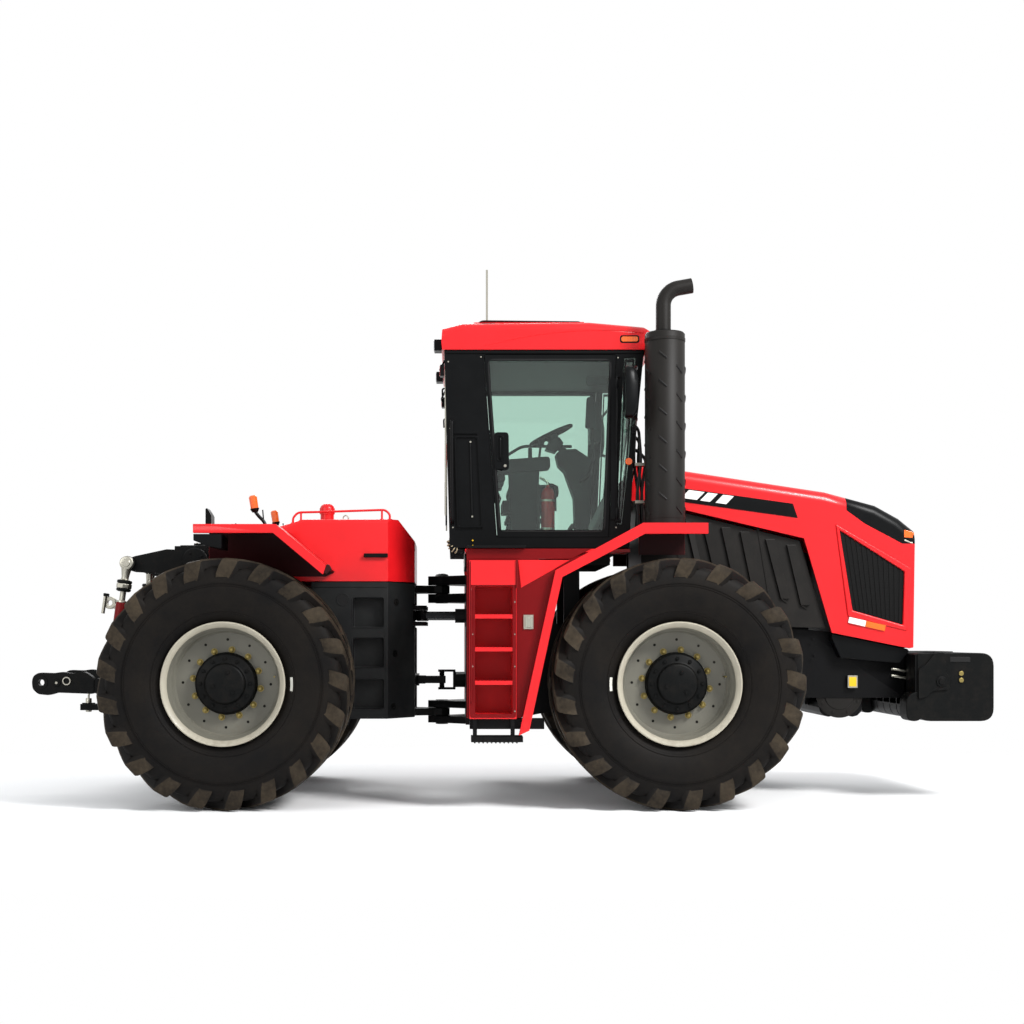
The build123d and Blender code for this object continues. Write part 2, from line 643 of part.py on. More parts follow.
def make_rear_frame():
    """Two rails and three bulkheads."""
    with BuildPart() as frame:
        slab(REAR_FRAME_SIDE, *REAR_RAIL)
        mirror(about=Plane.XZ)
        block((-800, -760), (-230, 230), (617, 1660))
        block((-800, -760), (-350, 350), (CYL_Z - 78, CYL_Z + 78))
        block((-1400, -1360), (-200, 200), (660, 1480))
        block((-2540, -2500), (-200, 200), (720, 1480))
        rod((-810, 0, SHAFT_Z), (-750, 0, SHAFT_Z), 92, 8, Mode.SUBTRACT)
        rod((-1410, 0, SHAFT_Z), (-1350, 0, SHAFT_Z), 55, 8, Mode.SUBTRACT)
    return frame


def make_hinge_ears():
    """The rear half's two ears, with round bores for the hinge pins."""
    with BuildPart() as ears:
        for low, high in (EAR_UPPER, EAR_LOWER):
            plate(EAR, low, high)
            rod((HINGE_X, 0, low - 1), (HINGE_X, 0, high + 1), HINGE_PIN + 1, 0, Mode.SUBTRACT)
    return ears


def make_cylinder_lugs():
    """Pairs of lugs on the rear frame that take the steering cylinders' rods."""
    x, y = CYL_EYE
    with BuildPart() as lugs:
        for z in (CYL_Z - 78, CYL_Z + 48):
            plate([(-760, y - 90), (x, y - 66), (x + 44, y - 36), (x + 44, y + 36), (x, y + 66),
                   (-760, y + 90)], z, z + 30)
        mirror(about=Plane.XZ)
    return lugs


TANK_SIDE = [(-1500, 1665), (-1500, 2139), (-840, 2139), (-718, 1985), (-718, 1665)]
TANK_PLAN = [(-1500, -640), (-915, -640), (-718, -380), (-718, 380), (-915, 640), (-1500, 640)]
UNIT_PLAN = [(-1500, 640), (-915, 640), (-718, 380), (-718, 240), (-1500, 240)]
POCKETS = (1315, 1009, 696)         # lower edges of the pockets in each side unit
POCKET_HEIGHT = 224


def make_side_units():
    """Black moulded units under the tank, one each side of the frame."""
    with BuildPart() as units:
        plate(UNIT_PLAN, 617, 1660)
        block((-830, -710), (230, CYL_EYE[1] + 130), (CYL_Z - 90, CYL_Z + 90), Mode.SUBTRACT)
        for z in POCKETS:
            block((-1180, -949), (560, 641), (z, z + POCKET_HEIGHT), Mode.SUBTRACT)
        mirror(about=Plane.XZ)
    return units


def make_fuel_tank():
    with BuildPart() as tank:
        plate(TANK_PLAN, 1665, 2139)
        slab(TANK_SIDE, -641, 641, Mode.INTERSECT)
        fillet(tank.edges().filter_by(Axis.X).sort_by(Axis.Z)[-2:], 30)
        rod((-1394, -440, 2130), (-1394, -440, 2235), 50, 12)
        rod((-1394, -440, 2235), (-1394, -440, 2268), 34, 12)
    return tank


def make_rear_fenders():
    crest = [(-2275, 2047), (-1564, 2047), (-1078, 1722)]
    with BuildPart() as fenders:
        slab(crest + [(-1078, 1650), (-1580, 1975), (-2275, 1975)], 1340, 1392)
        slab(crest + [(-1086, 1708), (-1568, 2031), (-2275, 2031)], 642, 1340)
        slab([(-2275, 1700), (-2275, 2031), (-1568, 2031), (-1086, 1708), (-1300, 1700)], 642, 660)
        mirror(about=Plane.XZ)
    return fenders


def make_handrail():
    with BuildPart() as rail:
        for side in (-1, 1):
            y = side * 560
            bent_rod([(-1480, y, 2139), (-1480, y, 2201), (-939, y, 2215), (-905, y, 2170),
                      (-905, y, 2139)], 9)
    return rail


def make_rear_lamps():
    """Indicators on stalks at the rear fenders' inner edges."""
    with BuildPart() as lamps:
        block((-1970, -1890), (-740, -660), (2203, 2309))
        rod((-1930, -700, 2047), (-1930, -700, 2210), 12, 6)
        mirror(about=Plane.XZ)
    return lamps


def make_lift_housing():
    """Rockshaft housing on the rear of the frame, with the top link's lugs and the lower link pins' lugs."""
    with BuildPart() as housing:
        slab([(-2560, 1502), (-2560, 1960), (-2330, 1960), (-2200, 1520), (-2200, 1502)], -300, 300)
        block((-2620, -2560), (-200, 200), (900, 1960))
        for side in (-1, 1):
            block((TOP_LINK_PIN[0] - 50, -2560), (side * 60 - 18, side * 60 + 18), (1280, 1380))
            block((-2560, -2440), (side * 290 - 20, side * 290 + 20), (720, 900))
        cross_rod(*TOP_LINK_PIN, 20, -78, 78)
        cross_rod(*ROCKSHAFT, 60, -340, 340, 12)
    return housing


def make_drawbar():
    with BuildPart() as drawbar:
        block((-3400, -2300), (-60, 60), (655, 705))
        rod((-3345, 0, 650), (-3345, 0, 710), BALL_BORE, 0, Mode.SUBTRACT)
        block((-2620, -2300), (-150, 150), (610, 654))
    return drawbar


def make_driveshaft_rear():
    """Rear part of the shaft with its fork, a quarter turn from the front fork."""
    with BuildPart() as shaft:
        rod((-1500, 0, SHAFT_Z), (-690, 0, SHAFT_Z), 50, 8)
        block((-700, -640), (-80, 80), (SHAFT_Z - 32, SHAFT_Z + 32))
        for side in (-1, 1):
            block((-650, HINGE_X + 30), (side * 71 - 9, side * 71 + 9), (SHAFT_Z - 28, SHAFT_Z + 28))
    return shaft


# ---- linkage --------------------------------------------------------------
LIFT_ARM = [(ROCKSHAFT[0] + 85, ROCKSHAFT[1] - 40), (ROCKSHAFT[0] + 60, ROCKSHAFT[1] + 75), (-2640, 1921),
            (-2885, 1868), (-2990, 1830), (-2985, 1775), (-2885, 1745), (-2600, 1730), (-2440, 1750)]
LOWER_LINK = [(-2440, 740), (-2440, 840), (-2600, 850), (-3100, 905), (-3560, 945), (-3662, 890),
              (-3640, 830), (-3100, 800), (-2700, 750)]


def make_lift_arms():
    with BuildPart() as arms:
        slab(LIFT_ARM, ARM_Y - 30, ARM_Y + 30)
        cross_rod(*ROCKSHAFT, 90, 342, ARM_Y + 40, 12)
        mirror(about=Plane.XZ)
    return arms


def make_lift_rods():
    """Screw-adjusted rods from the arms' tips to forks over the lower links."""
    top, low = (ARM_TIP[0], LINK_Y, ARM_TIP[1] - 40), (LINK_ROD_PIN[0] + 18, LINK_Y, LINK_ROD_PIN[1] + 170)
    x, z = LINK_ROD_PIN
    with BuildPart() as rods:
        rod(top, low, 26)
        rod((ARM_TIP[0] - 30, LINK_Y, 1600), (x + 18, LINK_Y, 1150), 45, 8)
        cross_rod(*ARM_TIP, 54, 436, 520, 8)
        for y in (425, 535):
            block((x - 45, x + 45), (y - 15, y + 15), (z - 60, z + 160))
        block((x - 45, x + 45), (410, 550), (z + 150, z + 190))
        mirror(about=Plane.XZ)
    return rods


def make_lower_links():
    """Forged draft links with their ball ends."""
    with BuildPart() as links:
        slab(LOWER_LINK, LINK_Y - 30, LINK_Y + 30)
        block((-2540, -2420), (330, LINK_Y - 30), (745, 835))
        cross_rod(*LINK_PIN, 25, 315, 335)
        cross_rod(*LINK_BALL, BALL_BORE, LINK_Y - 40, LINK_Y + 40, 0, Mode.SUBTRACT)
        mirror(about=Plane.XZ)
    return links


def make_top_link():
    """Screw-adjusted top link with an eye at each end."""
    with BuildPart() as link:
        rod((TOP_LINK_PIN[0] - 30, 0, TOP_LINK_PIN[1] + 10), (TOP_LINK_END[0] + 30, 0, TOP_LINK_END[1] - 10),
            34, 8)
        cross_rod(*TOP_LINK_PIN, 42, -36, 36, 8)
        cross_rod(*TOP_LINK_PIN, 23, -40, 40, 8, Mode.SUBTRACT)
        cross_rod(*TOP_LINK_END, 50, -36, 36, 8)
        cross_rod(*TOP_LINK_END, TOP_LINK_BORE, -40, 40, 0, Mode.SUBTRACT)
    return link


def cylinder_run(side):
    """Anchor and unit direction of a steering cylinder."""
    start = Vector(CYL_ANCHOR[0], side * CYL_ANCHOR[1], CYL_Z)
    end = Vector(CYL_EYE[0], side * CYL_EYE[1], CYL_Z)
    return start, end, (end - start).normalized()


def make_barrel(side):
    start, _, run = cylinder_run(side)
    with BuildPart() as barrel:
        rod(tuple(start + run * 40), tuple(start + run * BARREL_END), CYL_RADIUS, 10)
        rod((start.X, start.Y, CYL_Z - 40), (start.X, start.Y, CYL_Z + 40), 50, 8)
        rod((start.X, start.Y, CYL_Z - 41), (start.X, start.Y, CYL_Z + 41), 25, 8, Mode.SUBTRACT)
        rod(tuple(start + run * 80), tuple(start + run * (BARREL_END + 1)), CYL_ROD + 3, 10, Mode.SUBTRACT)
    return barrel


def make_piston(side):
    start, end, run = cylinder_run(side)
    with BuildPart() as piston:
        rod(tuple(start + run * 300), tuple(end - run * 30), CYL_ROD, 8)
        rod((end.X, end.Y, CYL_Z - 38), (end.X, end.Y, CYL_Z + 38), 48, 8)
    return piston


# ---- all pieces -----------------------------------------------------------
pieces = {
    "front_frame": make_front_frame(),
    "hinge_bulkhead": make_hinge_bulkhead(),
    "front_axle": make_axle(FRONT_AXLE_X),
    "engine": make_engine(),
    "cooling_pack": make_cooling_pack(),
    "cab_shell": make_cab_shell(),
    "cab_glass": make_cab_glass(),
    "cab_roof": make_cab_roof(),
    "seat": make_seat(),
    "steering_console": make_console(),
    "front_fenders": make_front_fenders(),
    "ladders": make_ladders(),
    "cab_decks": make_cab_decks(),
    "exhaust_stack": make_exhaust(),
    "mirrors": make_mirrors(),
    "work_lamps": make_work_lamps(),
    "louvre_panels": make_louvre_panels(),
    "nose_cowl": make_nose_cowl(),
    "weight_carrier": make_weight_carrier(),
    "front_weights": make_front_weights(),
    "air_tanks": make_air_tanks(),
    "driveshaft_front": make_driveshaft_front(),
    "hood": make_hood(),
    "nose_cap": make_nose_cap(),
    "hood_grilles": make_hood_grilles(),
    "rear_frame": make_rear_frame(),
    "hinge_ears": make_hinge_ears(),
    "cylinder_lugs": make_cylinder_lugs(),
    "rear_axle": make_axle(REAR_AXLE_X),
    "side_units": make_side_units(),
    "fuel_tank": make_fuel_tank(),
    "rear_fenders": make_rear_fenders(),
    "handrail": make_handrail(),
    "rear_lamps": make_rear_lamps(),
    "lift_housing": make_lift_housing(),
    "drawbar": make_drawbar(),
    "driveshaft_rear": make_driveshaft_rear(),
    "lift_arms": make_lift_arms(),
    "lift_rods": make_lift_rods(),
    "lower_links": make_lower_links(),
    "top_link": make_top_link(),
}
for label, side in SIDES:
    pieces[f"door_{label}"] = make_door(side)
    pieces[f"door_{label}_glass"] = make_door_glass(side)
    pieces[f"steering_barrel_{label}"] = make_barrel(side)
    pieces[f"steering_rod_{label}"] = make_piston(side)
    for end, axle_x in (("front", FRONT_AXLE_X), ("rear", REAR_AXLE_X)):
        pieces[f"tyre_{end}_{label}"] = make_tyre(axle_x, side)
        pieces[f"rim_{end}_{label}"] = make_rim(axle_x, side)

for name, piece in pieces.items():
    piece.part.label = name
    export_step(piece.part, f"parts/{name}.step")
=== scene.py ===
"""Looks of an articulated farm tractor: every surface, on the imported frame.

Run as a script.  Lengths are metres unless a name ends in _mm or mm() reads
them; +X is the nose, +Y the tractor's left, +Z up, as in the frame.
"""

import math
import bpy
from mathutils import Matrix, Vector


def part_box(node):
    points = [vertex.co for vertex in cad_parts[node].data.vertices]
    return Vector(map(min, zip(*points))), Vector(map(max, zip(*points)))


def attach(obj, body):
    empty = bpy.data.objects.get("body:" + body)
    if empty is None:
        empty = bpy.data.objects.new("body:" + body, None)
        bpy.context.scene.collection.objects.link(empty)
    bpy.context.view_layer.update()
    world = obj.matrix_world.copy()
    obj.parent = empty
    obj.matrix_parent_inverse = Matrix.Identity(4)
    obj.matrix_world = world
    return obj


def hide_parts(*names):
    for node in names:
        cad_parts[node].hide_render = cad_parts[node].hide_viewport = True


bl_info = {
    "name": "Articulated tractor looks",
    "version": (1, 0, 0),
    "blender": (4, 5, 0),
    "location": "View3D > Sidebar > Tractor",
    "description": "Builds tyres, panels, cab trim and finishes round the packed tractor frame",
    "category": "Object",
}

import bmesh
import bpy
from bpy.props import FloatProperty, IntProperty, PointerProperty, StringProperty
from mathutils import Vector

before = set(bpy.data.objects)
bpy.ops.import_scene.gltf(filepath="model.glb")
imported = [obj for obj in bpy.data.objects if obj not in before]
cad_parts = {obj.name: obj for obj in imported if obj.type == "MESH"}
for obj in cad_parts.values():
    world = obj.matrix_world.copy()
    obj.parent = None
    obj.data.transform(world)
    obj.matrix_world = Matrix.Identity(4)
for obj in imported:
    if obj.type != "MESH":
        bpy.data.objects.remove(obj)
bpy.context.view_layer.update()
SIDES = (("right", -1), ("left", 1))
ENDS = ("front", "rear")


# ---------------------------------------------------------------------------
# Colours and nodes
# ---------------------------------------------------------------------------
def linear(colour):
    """An sRGB hex string as a linear RGBA value."""
    parts = [int(colour[i:i + 2], 16) / 255 for i in (0, 2, 4)]
    return [c / 12.92 if c <= 0.04045 else ((c + 0.055) / 1.055) ** 2.4 for c in parts] + [1.0]


def wire(tree, node, inputs):
    """Link the inputs that are given as sockets, and set the others."""
    for key, value in inputs.items():
        if isinstance(value, bpy.types.NodeSocket):
            tree.links.new(value, node.inputs[key])
        else:
            node.inputs[key].default_value = value


def put(tree, kind, inputs=None, **settings):
    """Add one shader node with its inputs and settings."""
    node = tree.nodes.new("ShaderNode" + kind)
    for key, value in settings.items():
        setattr(node, key, value)
    wire(tree, node, inputs or {})
    return node


def blank(name):
    """A new material with only its Principled shader; returns material, tree, shader, position."""
    material = bpy.data.materials.new(name)
    material.use_nodes = True
    tree = material.node_tree
    return material, tree, tree.nodes["Principled BSDF"], put(tree, "TexCoord").outputs["Object"]


# ---------------------------------------------------------------------------
# Finishes, each named for what the real surface is
# ---------------------------------------------------------------------------
def scaled(colour, factor):
    """A linear colour made lighter or darker."""
    return [min(channel * factor, 1.0) for channel in colour[:3]] + [1.0]


def skin(kit, share, colour, other, height, strength, depth, plain):
    """Two colours mixed by a share, dented by a height, with plain values on the shader's own sockets."""
    material, tree, shader, _ = kit
    mixed = put(tree, "Mix", {0: share, 6: colour, 7: other}, data_type="RGBA").outputs[2]
    wire(tree, shader, {"Base Color": mixed, **plain})
    if height is not None:
        bump = put(tree, "Bump", {"Height": height, "Strength": strength, "Distance": depth})
        wire(tree, shader, {"Normal": bump.outputs["Normal"]})
    return material


def enamel(name, colour, dusty, roughness=0.30, coat=0.1, gloss=0.30, dust_top=1.3):
    """Sprayed and stoved enamel: a smooth glossy skin with faint orange peel, dusty low down."""
    kit = _, tree, _, place = blank(name)
    # uneven fading, in clouds a quarter of a metre wide
    cloud = put(tree, "TexNoise", {"Vector": place, "Scale": 1 / 0.26, "Detail": 5.0}).outputs["Fac"]
    fade = put(tree, "MapRange", {"Value": cloud, "From Min": 0.35, "From Max": 0.65}).outputs[0]
    faded = scaled(linear(colour), 0.88)
    paint = put(tree, "Mix", {0: fade, 6: linear(colour), 7: faded}, data_type="RGBA").outputs[2]
    # road dust: thick at the wheels, gone above dust_top
    height = put(tree, "SeparateXYZ", {"Vector": place}).outputs["Z"]
    clean = put(tree, "MapRange", {"Value": height, "From Min": 0.4, "From Max": dust_top, "To Max": 0.45})
    speck = put(tree, "TexNoise", {"Vector": place, "Scale": 1 / 0.05, "Detail": 8.0, "Roughness": 0.7})
    cover = put(tree, "Math", {0: clean.outputs[0], 1: speck.outputs["Fac"]}, operation="ADD").outputs[0]
    bare = put(tree, "MapRange", {"Value": cover, "From Min": 0.22, "From Max": 0.60}).outputs[0]
    dull = put(tree, "MapRange", {"Value": bare, "To Min": roughness + 0.3, "To Max": roughness}).outputs[0]
    # orange peel: real ripples are 2 mm wide; drawn 9 mm wide so that they show
    peel = put(tree, "TexNoise", {"Vector": place, "Scale": 1 / 0.009, "Detail": 2.0}).outputs["Fac"]
    return skin(kit, bare, linear(dusty), paint, peel, 0.3, 0.00005, {
        "Roughness": dull, "Specular IOR Level": gloss, "Coat Weight": coat, "Coat Roughness": 0.06})


def moulding(name, colour, chalk, roughness=0.5, grain_mm=5.0, depth_mm=0.2, gloss=0.25):
    """Moulded polymer or rubber: matt, finely grained, a little chalky where it has weathered."""
    kit = _, tree, _, place = blank(name)
    cloud = put(tree, "TexNoise", {"Vector": place, "Scale": 1 / 0.19, "Detail": 6.0, "Roughness": 0.62})
    worn = put(tree, "MapRange", {"Value": cloud.outputs["Fac"], "From Min": 0.40, "From Max": 0.75})
    grain = put(tree, "TexVoronoi", {"Vector": place, "Scale": 1000 / grain_mm}, feature="SMOOTH_F1")
    return skin(kit, worn.outputs[0], linear(colour), linear(chalk), grain.outputs[0], 0.5, depth_mm / 1000, {
        "Roughness": roughness, "Specular IOR Level": gloss})


def bare_metal(name, colour, roughness):
    """Turned, ground or plated metal: bright, with fine uneven streaks."""
    kit = _, tree, _, place = blank(name)
    # streaks 24 mm long
    streak = put(tree, "TexNoise", {"Vector": place, "Scale": 1 / 0.024, "Detail": 6.0, "Roughness": 0.6})
    streak = streak.outputs["Fac"]
    worn = put(tree, "MapRange", {"Value": streak, "From Min": 0.3, "From Max": 0.7,
                                  "To Min": roughness * 0.8, "To Max": roughness * 1.3})
    return skin(kit, streak, linear(colour), scaled(linear(colour), 0.7), None, 0, 0, {
        "Metallic": 1.0, "Roughness": worn.outputs[0]})


def casting(name, colour, dusty, roughness=0.5, gloss=0.25):
    """Painted sand casting: pebbly skin with dust in its hollows."""
    kit = _, tree, _, place = blank(name)
    coarse = put(tree, "TexNoise", {"Vector": place, "Scale": 1 / 0.06, "Detail": 8.0, "Roughness": 0.65})
    dust = put(tree, "MapRange", {"Value": coarse.outputs["Fac"], "From Min": 0.45, "From Max": 0.80})
    # sand grains are 0.5 mm; drawn 7 mm so that they show
    grit = put(tree, "TexNoise", {"Vector": place, "Scale": 1 / 0.007, "Detail": 5.0, "Roughness": 0.6})
    return skin(kit, dust.outputs[0], linear(colour), linear(dusty), grit.outputs["Fac"], 0.5, 0.0006, {
        "Roughness": roughness, "Specular IOR Level": gloss})


def tyre_rubber(name, colour, dusty):
    """Vulcanised rubber: dull near black, brown where field dust is rubbed into the lugs' faces."""
    kit = _, tree, _, place = blank(name)
    patch = put(tree, "TexNoise", {"Vector": place, "Scale": 1 / 0.32, "Detail": 7.0, "Roughness": 0.66})
    fine = put(tree, "TexNoise", {"Vector": place, "Scale": 1 / 0.024, "Detail": 8.0, "Roughness": 0.7})
    fine = fine.outputs["Fac"]
    mixed = put(tree, "Math", {0: fine, 1: 0.45, 2: patch.outputs["Fac"]}, operation="MULTIPLY_ADD")
    dust = put(tree, "MapRange", {"Value": mixed.outputs[0], "From Min": 0.55, "From Max": 1.05}).outputs[0]
    return skin(kit, dust, linear(colour), linear(dusty), fine, 0.4, 0.0007, {
        "Roughness": 0.62, "Specular IOR Level": 0.10})


def tinted_glass(name, colour):
    """Flat toughened glass, faintly green, that shows the cab's inside."""
    material, tree, shader, _ = blank(name)
    wire(tree, shader, {
        "Base Color": linear(colour), "Roughness": 0.0, "IOR": 1.5, "Transmission Weight": 1.0})
    return material


def lens(name, colour, painted_glow):
    """Moulded acrylic lens with vertical flutes 6 mm wide, glowing faintly: painted light."""
    kit = _, tree, _, place = blank(name)
    flutes = put(tree, "TexWave", {"Vector": place, "Scale": 1 / 0.006 / math.tau}, bands_direction="X")
    flutes = flutes.outputs["Fac"]
    return skin(kit, flutes, linear(colour), scaled(linear(colour), 0.7), flutes, 0.6, 0.0005, {
        "Roughness": 0.12, "Coat Weight": 0.5, "Emission Color": linear(colour), "Emission Strength": painted_glow})


def woven_cloth(name, colour):
    """Seat cloth in plain weave: real threads are 1 mm apart, drawn 6 mm apart so that they show."""
    kit = _, tree, _, place = blank(name)
    warp, weft = (put(tree, "TexWave", {"Vector": place, "Scale": 1 / 0.006 / math.tau},
                      bands_direction=way).outputs["Fac"] for way in "YZ")
    weave = put(tree, "Math", {0: warp, 1: weft}, operation="MULTIPLY").outputs[0]
    return skin(kit, weave, linear(colour), scaled(linear(colour), 2.2), weave, 0.6, 0.0005, {
        "Roughness": 0.9, "Sheen Weight": 0.3})


def punched_sheet(name, colour):
    """Punched steel screen: small dark holes 12 mm apart under black powder coat."""
    kit = _, tree, _, place = blank(name)
    holes = put(tree, "TexVoronoi", {"Vector": place, "Scale": 1 / 0.012, "Randomness": 0.0})
    holes = holes.outputs["Distance"]
    rim = put(tree, "MapRange", {"Value": holes, "From Min": 0.25, "From Max": 0.45}).outputs[0]
    return skin(kit, rim, linear("040404"), linear(colour), holes, 0.8, 0.0015, {
        "Roughness": 0.5, "Specular IOR Level": 0.12})


# finishes in use, by the short name that the pieces give
M = {}


def make_materials(colours):
    """Mix every finish."""
    M.update(
        red=enamel("red_stoved_enamel", colours.red, "7A3A2C"),
        # darker red: painted shade on the ladder panels, the edges and strips round their wells and the
        # tank's downward faces; the adjusting rods' sleeves wear it too
        side_red=enamel("mid_red_enamel_and_painted_shade", colours.red_side, "5A241A", 0.40, 0.0, 0.12),
        # darker red still: painted shade on the fenders' undersides and inner walls; the roof rail and the
        # rear fenders' hooks wear it too
        dark_red=enamel("dark_red_enamel_and_painted_shade", colours.red_shade, "3A1E18", 0.45, 0.0, 0.15),
        black=enamel("black_chassis_enamel", colours.black, "1A1715", 0.45, 0.0, 0.10),
        stack=enamel("bronzed_exhaust_paint", "191715", "1E1B17", 0.5, 0.0, 0.15),
        underseal=moulding("black_underseal", "08080A", "0C0C0C", 0.9, 6.0, 0.3, 0.02),
        marking=moulding("white_marking_paint", "C9C8C0", "A9A79C", 0.7),
        moulded=moulding("black_moulded_polyethylene", "101112", "1D1E1D", 0.55, 5.0, 0.2, 0.2),
        louvre=moulding("dusty_abs_louvre", "141210", "1E1B18", 0.45, 3.0, 0.05, 0.18),
        # duller red: painted shade in the ladders' recessed wells
        well_red=enamel("red_step_well_painted_shade", "A01014", "5A241A", 0.40, 0.0, 0.12),
        conduit=moulding("beige_corrugated_conduit", "B9A98A", "9A8B70", 0.6),
        satin=moulding("black_abs_trim", "040506", "090A0B", 0.34, 3.0, 0.05, 0.11),
        rim=enamel("silver_wheel_enamel", colours.rim, "7A7264", 0.36, 0.1, 0.4, 1.1),
        # darker copy of the wheel enamel: painted shade on the dish inside the flange
        disc=enamel("silver_disc_enamel_painted_shade", colours.disc, "6A6458", 0.40, 0.05, 0.3, 1.1),
        rubber=tyre_rubber("vulcanised_tyre_rubber", colours.rubber, colours.dust),
        tread=tyre_rubber("dusty_tread_rubber", colours.dust, colours.tread_dust),
        glass=tinted_glass("green_tinted_safety_glass", "CFE6DC"),
        cloth=woven_cloth("woven_seat_cloth", "141517"),
        vinyl=moulding("grained_interior_vinyl", "141618", "1E2022", 0.6, 4.0),
        zinc=bare_metal("zinc_plated_steel", "B5B2A6", 0.35),
        olive_zinc=bare_metal("yellow_passivated_zinc", "9A8A55", 0.40),
        cast=casting("painted_sand_casting", "060707", "13110F", 0.5, 0.10),
        grey_cast=casting("grey_engine_casting", "222427", "302C26"),
        # each lens glows faintly: painted light, also on the reflectors, hose caps and markers that use these
        # lenses
        amber=lens("amber_acrylic_lens", "E8600A", 0.15),
        clear=lens("clear_acrylic_lens", "D8DCE0", 0.05),
        smoked=lens("smoked_acrylic_lens", "8E8E82", 0.02),
        red_lens=lens("red_acrylic_lens", "B01010", 0.05),
        white=enamel("white_reflective_film", "E6E6E2", "9A938A", 0.35, 0.1),
        orange_film=enamel("orange_reflective_film", "E0641A", "8A5A3A", 0.35, 0.1),
        yellow=enamel("yellow_film", "E3B21C", "8A7A3A", 0.4, 0.0),
        screen=punched_sheet("punched_steel_screen", "070707"),
        mirror=bare_metal("silvered_mirror_glass", "DADDE0", 0.03),
        nitride=bare_metal("black_nitrided_piston_rod", "242526", 0.25),
        hose=moulding("braided_hydraulic_hose", "0A0A0B", "141312", 0.5, 3.0, 0.3),
        copper_red=enamel("extinguisher_enamel", "9A1015", "6A3028", 0.3, 0.2),
    )


# ---------------------------------------------------------------------------
# Shapes in mesh code
# ---------------------------------------------------------------------------
ACROSS = {"X": (1, 2), "Y": (0, 2), "Z": (0, 1)}


def middle(node):
    """Centre of a frame node's box."""
    low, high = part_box(node)
    return (low + high) / 2


def mm(text):
    """Points given in millimetres, with a comma between them."""
    return [tuple(float(value) / 1000 for value in point.split()) for point in text.split(",")]


def add_faces(bm, points, faces, material):
    """Add points and faces to a bmesh, with one material index."""
    verts = [bm.verts.new(p) for p in points]
    made = []
    for face in faces:
        try:
            made.append(bm.faces.new([verts[i] for i in face]))
        except ValueError:
            continue
        made[-1].material_index = material
    return verts, made


def add_prism(bm, outline, axis, low, high, material=0):
    """An outline across an axis, extruded along it."""
    count = len(outline)
    first, second = ACROSS[axis]
    points = []
    for along in (low, high):
        for a, b in outline:
            point = [along] * 3
            point[first], point[second] = a, b
            points.append(point)
    faces = [list(range(count)), list(range(2 * count - 1, count - 1, -1))]
    faces += [[i, i + count, (i + 1) % count + count, (i + 1) % count] for i in range(count)]
    return add_faces(bm, points, faces, material)


def add_block(bm, x, y, z, material=0):
    """A box between two values on each axis, given in any order."""
    (x0, x1), (y0, y1), (z0, z1) = (sorted(pair) for pair in (x, y, z))
    return add_prism(bm, [(x0, y0), (x1, y0), (x1, y1), (x0, y1)], "Z", z0, z1, material)


def add_lathe(bm, profile, centre, axis, steps=48, material=0, closed=False, start=0.0, sweep=math.tau):
    """Turn (along, radius) points about an axis through centre; closed joins the last to the first."""
    direction = Vector([float(letter == axis) for letter in "XYZ"]) if isinstance(axis, str) else Vector(axis)
    direction.normalize()
    side = direction.orthogonal().normalized()
    other = direction.cross(side)
    full = sweep == math.tau
    columns = steps if full else steps + 1
    points = []
    for along, radius in profile:
        for step in range(columns):
            turn = start + sweep * step / steps
            ray = side * math.cos(turn) + other * math.sin(turn)
            points.append(Vector(centre) + direction * along + ray * radius)
    rows = len(profile)
    faces = []
    for row in range(rows if closed else rows - 1):
        here, nxt = row * columns, (row + 1) % rows * columns
        for step in range(steps):
            after = (step + 1) % columns
            faces.append([here + step, here + after, nxt + after, nxt + step])
    if not full:
        edge = [row * columns for row in range(rows)]
        faces += [edge, [corner + steps for corner in edge[::-1]]]
    elif not closed:
        for row, turn in ((0, 1), (rows - 1, -1)):
            if profile[row][1] > 1e-6:
                faces.append([row * columns + i for i in range(columns)][::turn])
    return add_faces(bm, points, faces, material)


def add_disc(bm, centre, axis, radius, depth, steps=24, material=0, edge=0.0):
    """A round boss of one depth along an axis, with a rounded edge."""
    profile = [(0, radius), (depth - edge, radius)] + ([(depth, radius - edge)] if edge else [])
    return add_lathe(bm, profile, centre, axis, steps, material)


def ring_section(radius, thick, steps):
    """Profile that turns into a round ring: radius of its middle, and half its thickness."""
    turns = [math.tau * k / steps for k in range(steps)]
    return [(thick * math.sin(a), radius + thick * math.cos(a)) for a in turns]


def arc_corner(before, corner, after, reach, steps):
    """Points of a soft curve that takes a corner's place."""
    first = corner + (before - corner).normalized() * reach
    last = corner + (after - corner).normalized() * reach
    shares = [step / steps for step in range(steps + 1)]
    return [first * (1 - t) ** 2 + corner * 2 * t * (1 - t) + last * t ** 2 for t in shares]


def rounded_route(route, radius, steps=5):
    """An open route with its corners replaced by arcs of about the given radius."""
    route = [Vector(p) for p in route]
    if radius <= 0 or len(route) < 3:
        return route
    smooth = [route[0]]
    for before, corner, after in zip(route, route[1:], route[2:]):
        reach = min(radius, (before - corner).length * 0.45, (after - corner).length * 0.45)
        smooth += arc_corner(before, corner, after, reach, steps)
    return smooth + [route[-1]]


def rounded(outline, radius, steps=6):
    """A closed outline with its corners turned into arcs."""
    count, smooth = len(outline), []
    for i in range(count):
        before, corner, after = (Vector(outline[k % count]) for k in (i - 1, i, i + 1))
        reach = min(radius, (before - corner).length / 2, (after - corner).length / 2)
        smooth += [tuple(p) for p in arc_corner(before, corner, after, reach, steps)]
    return smooth


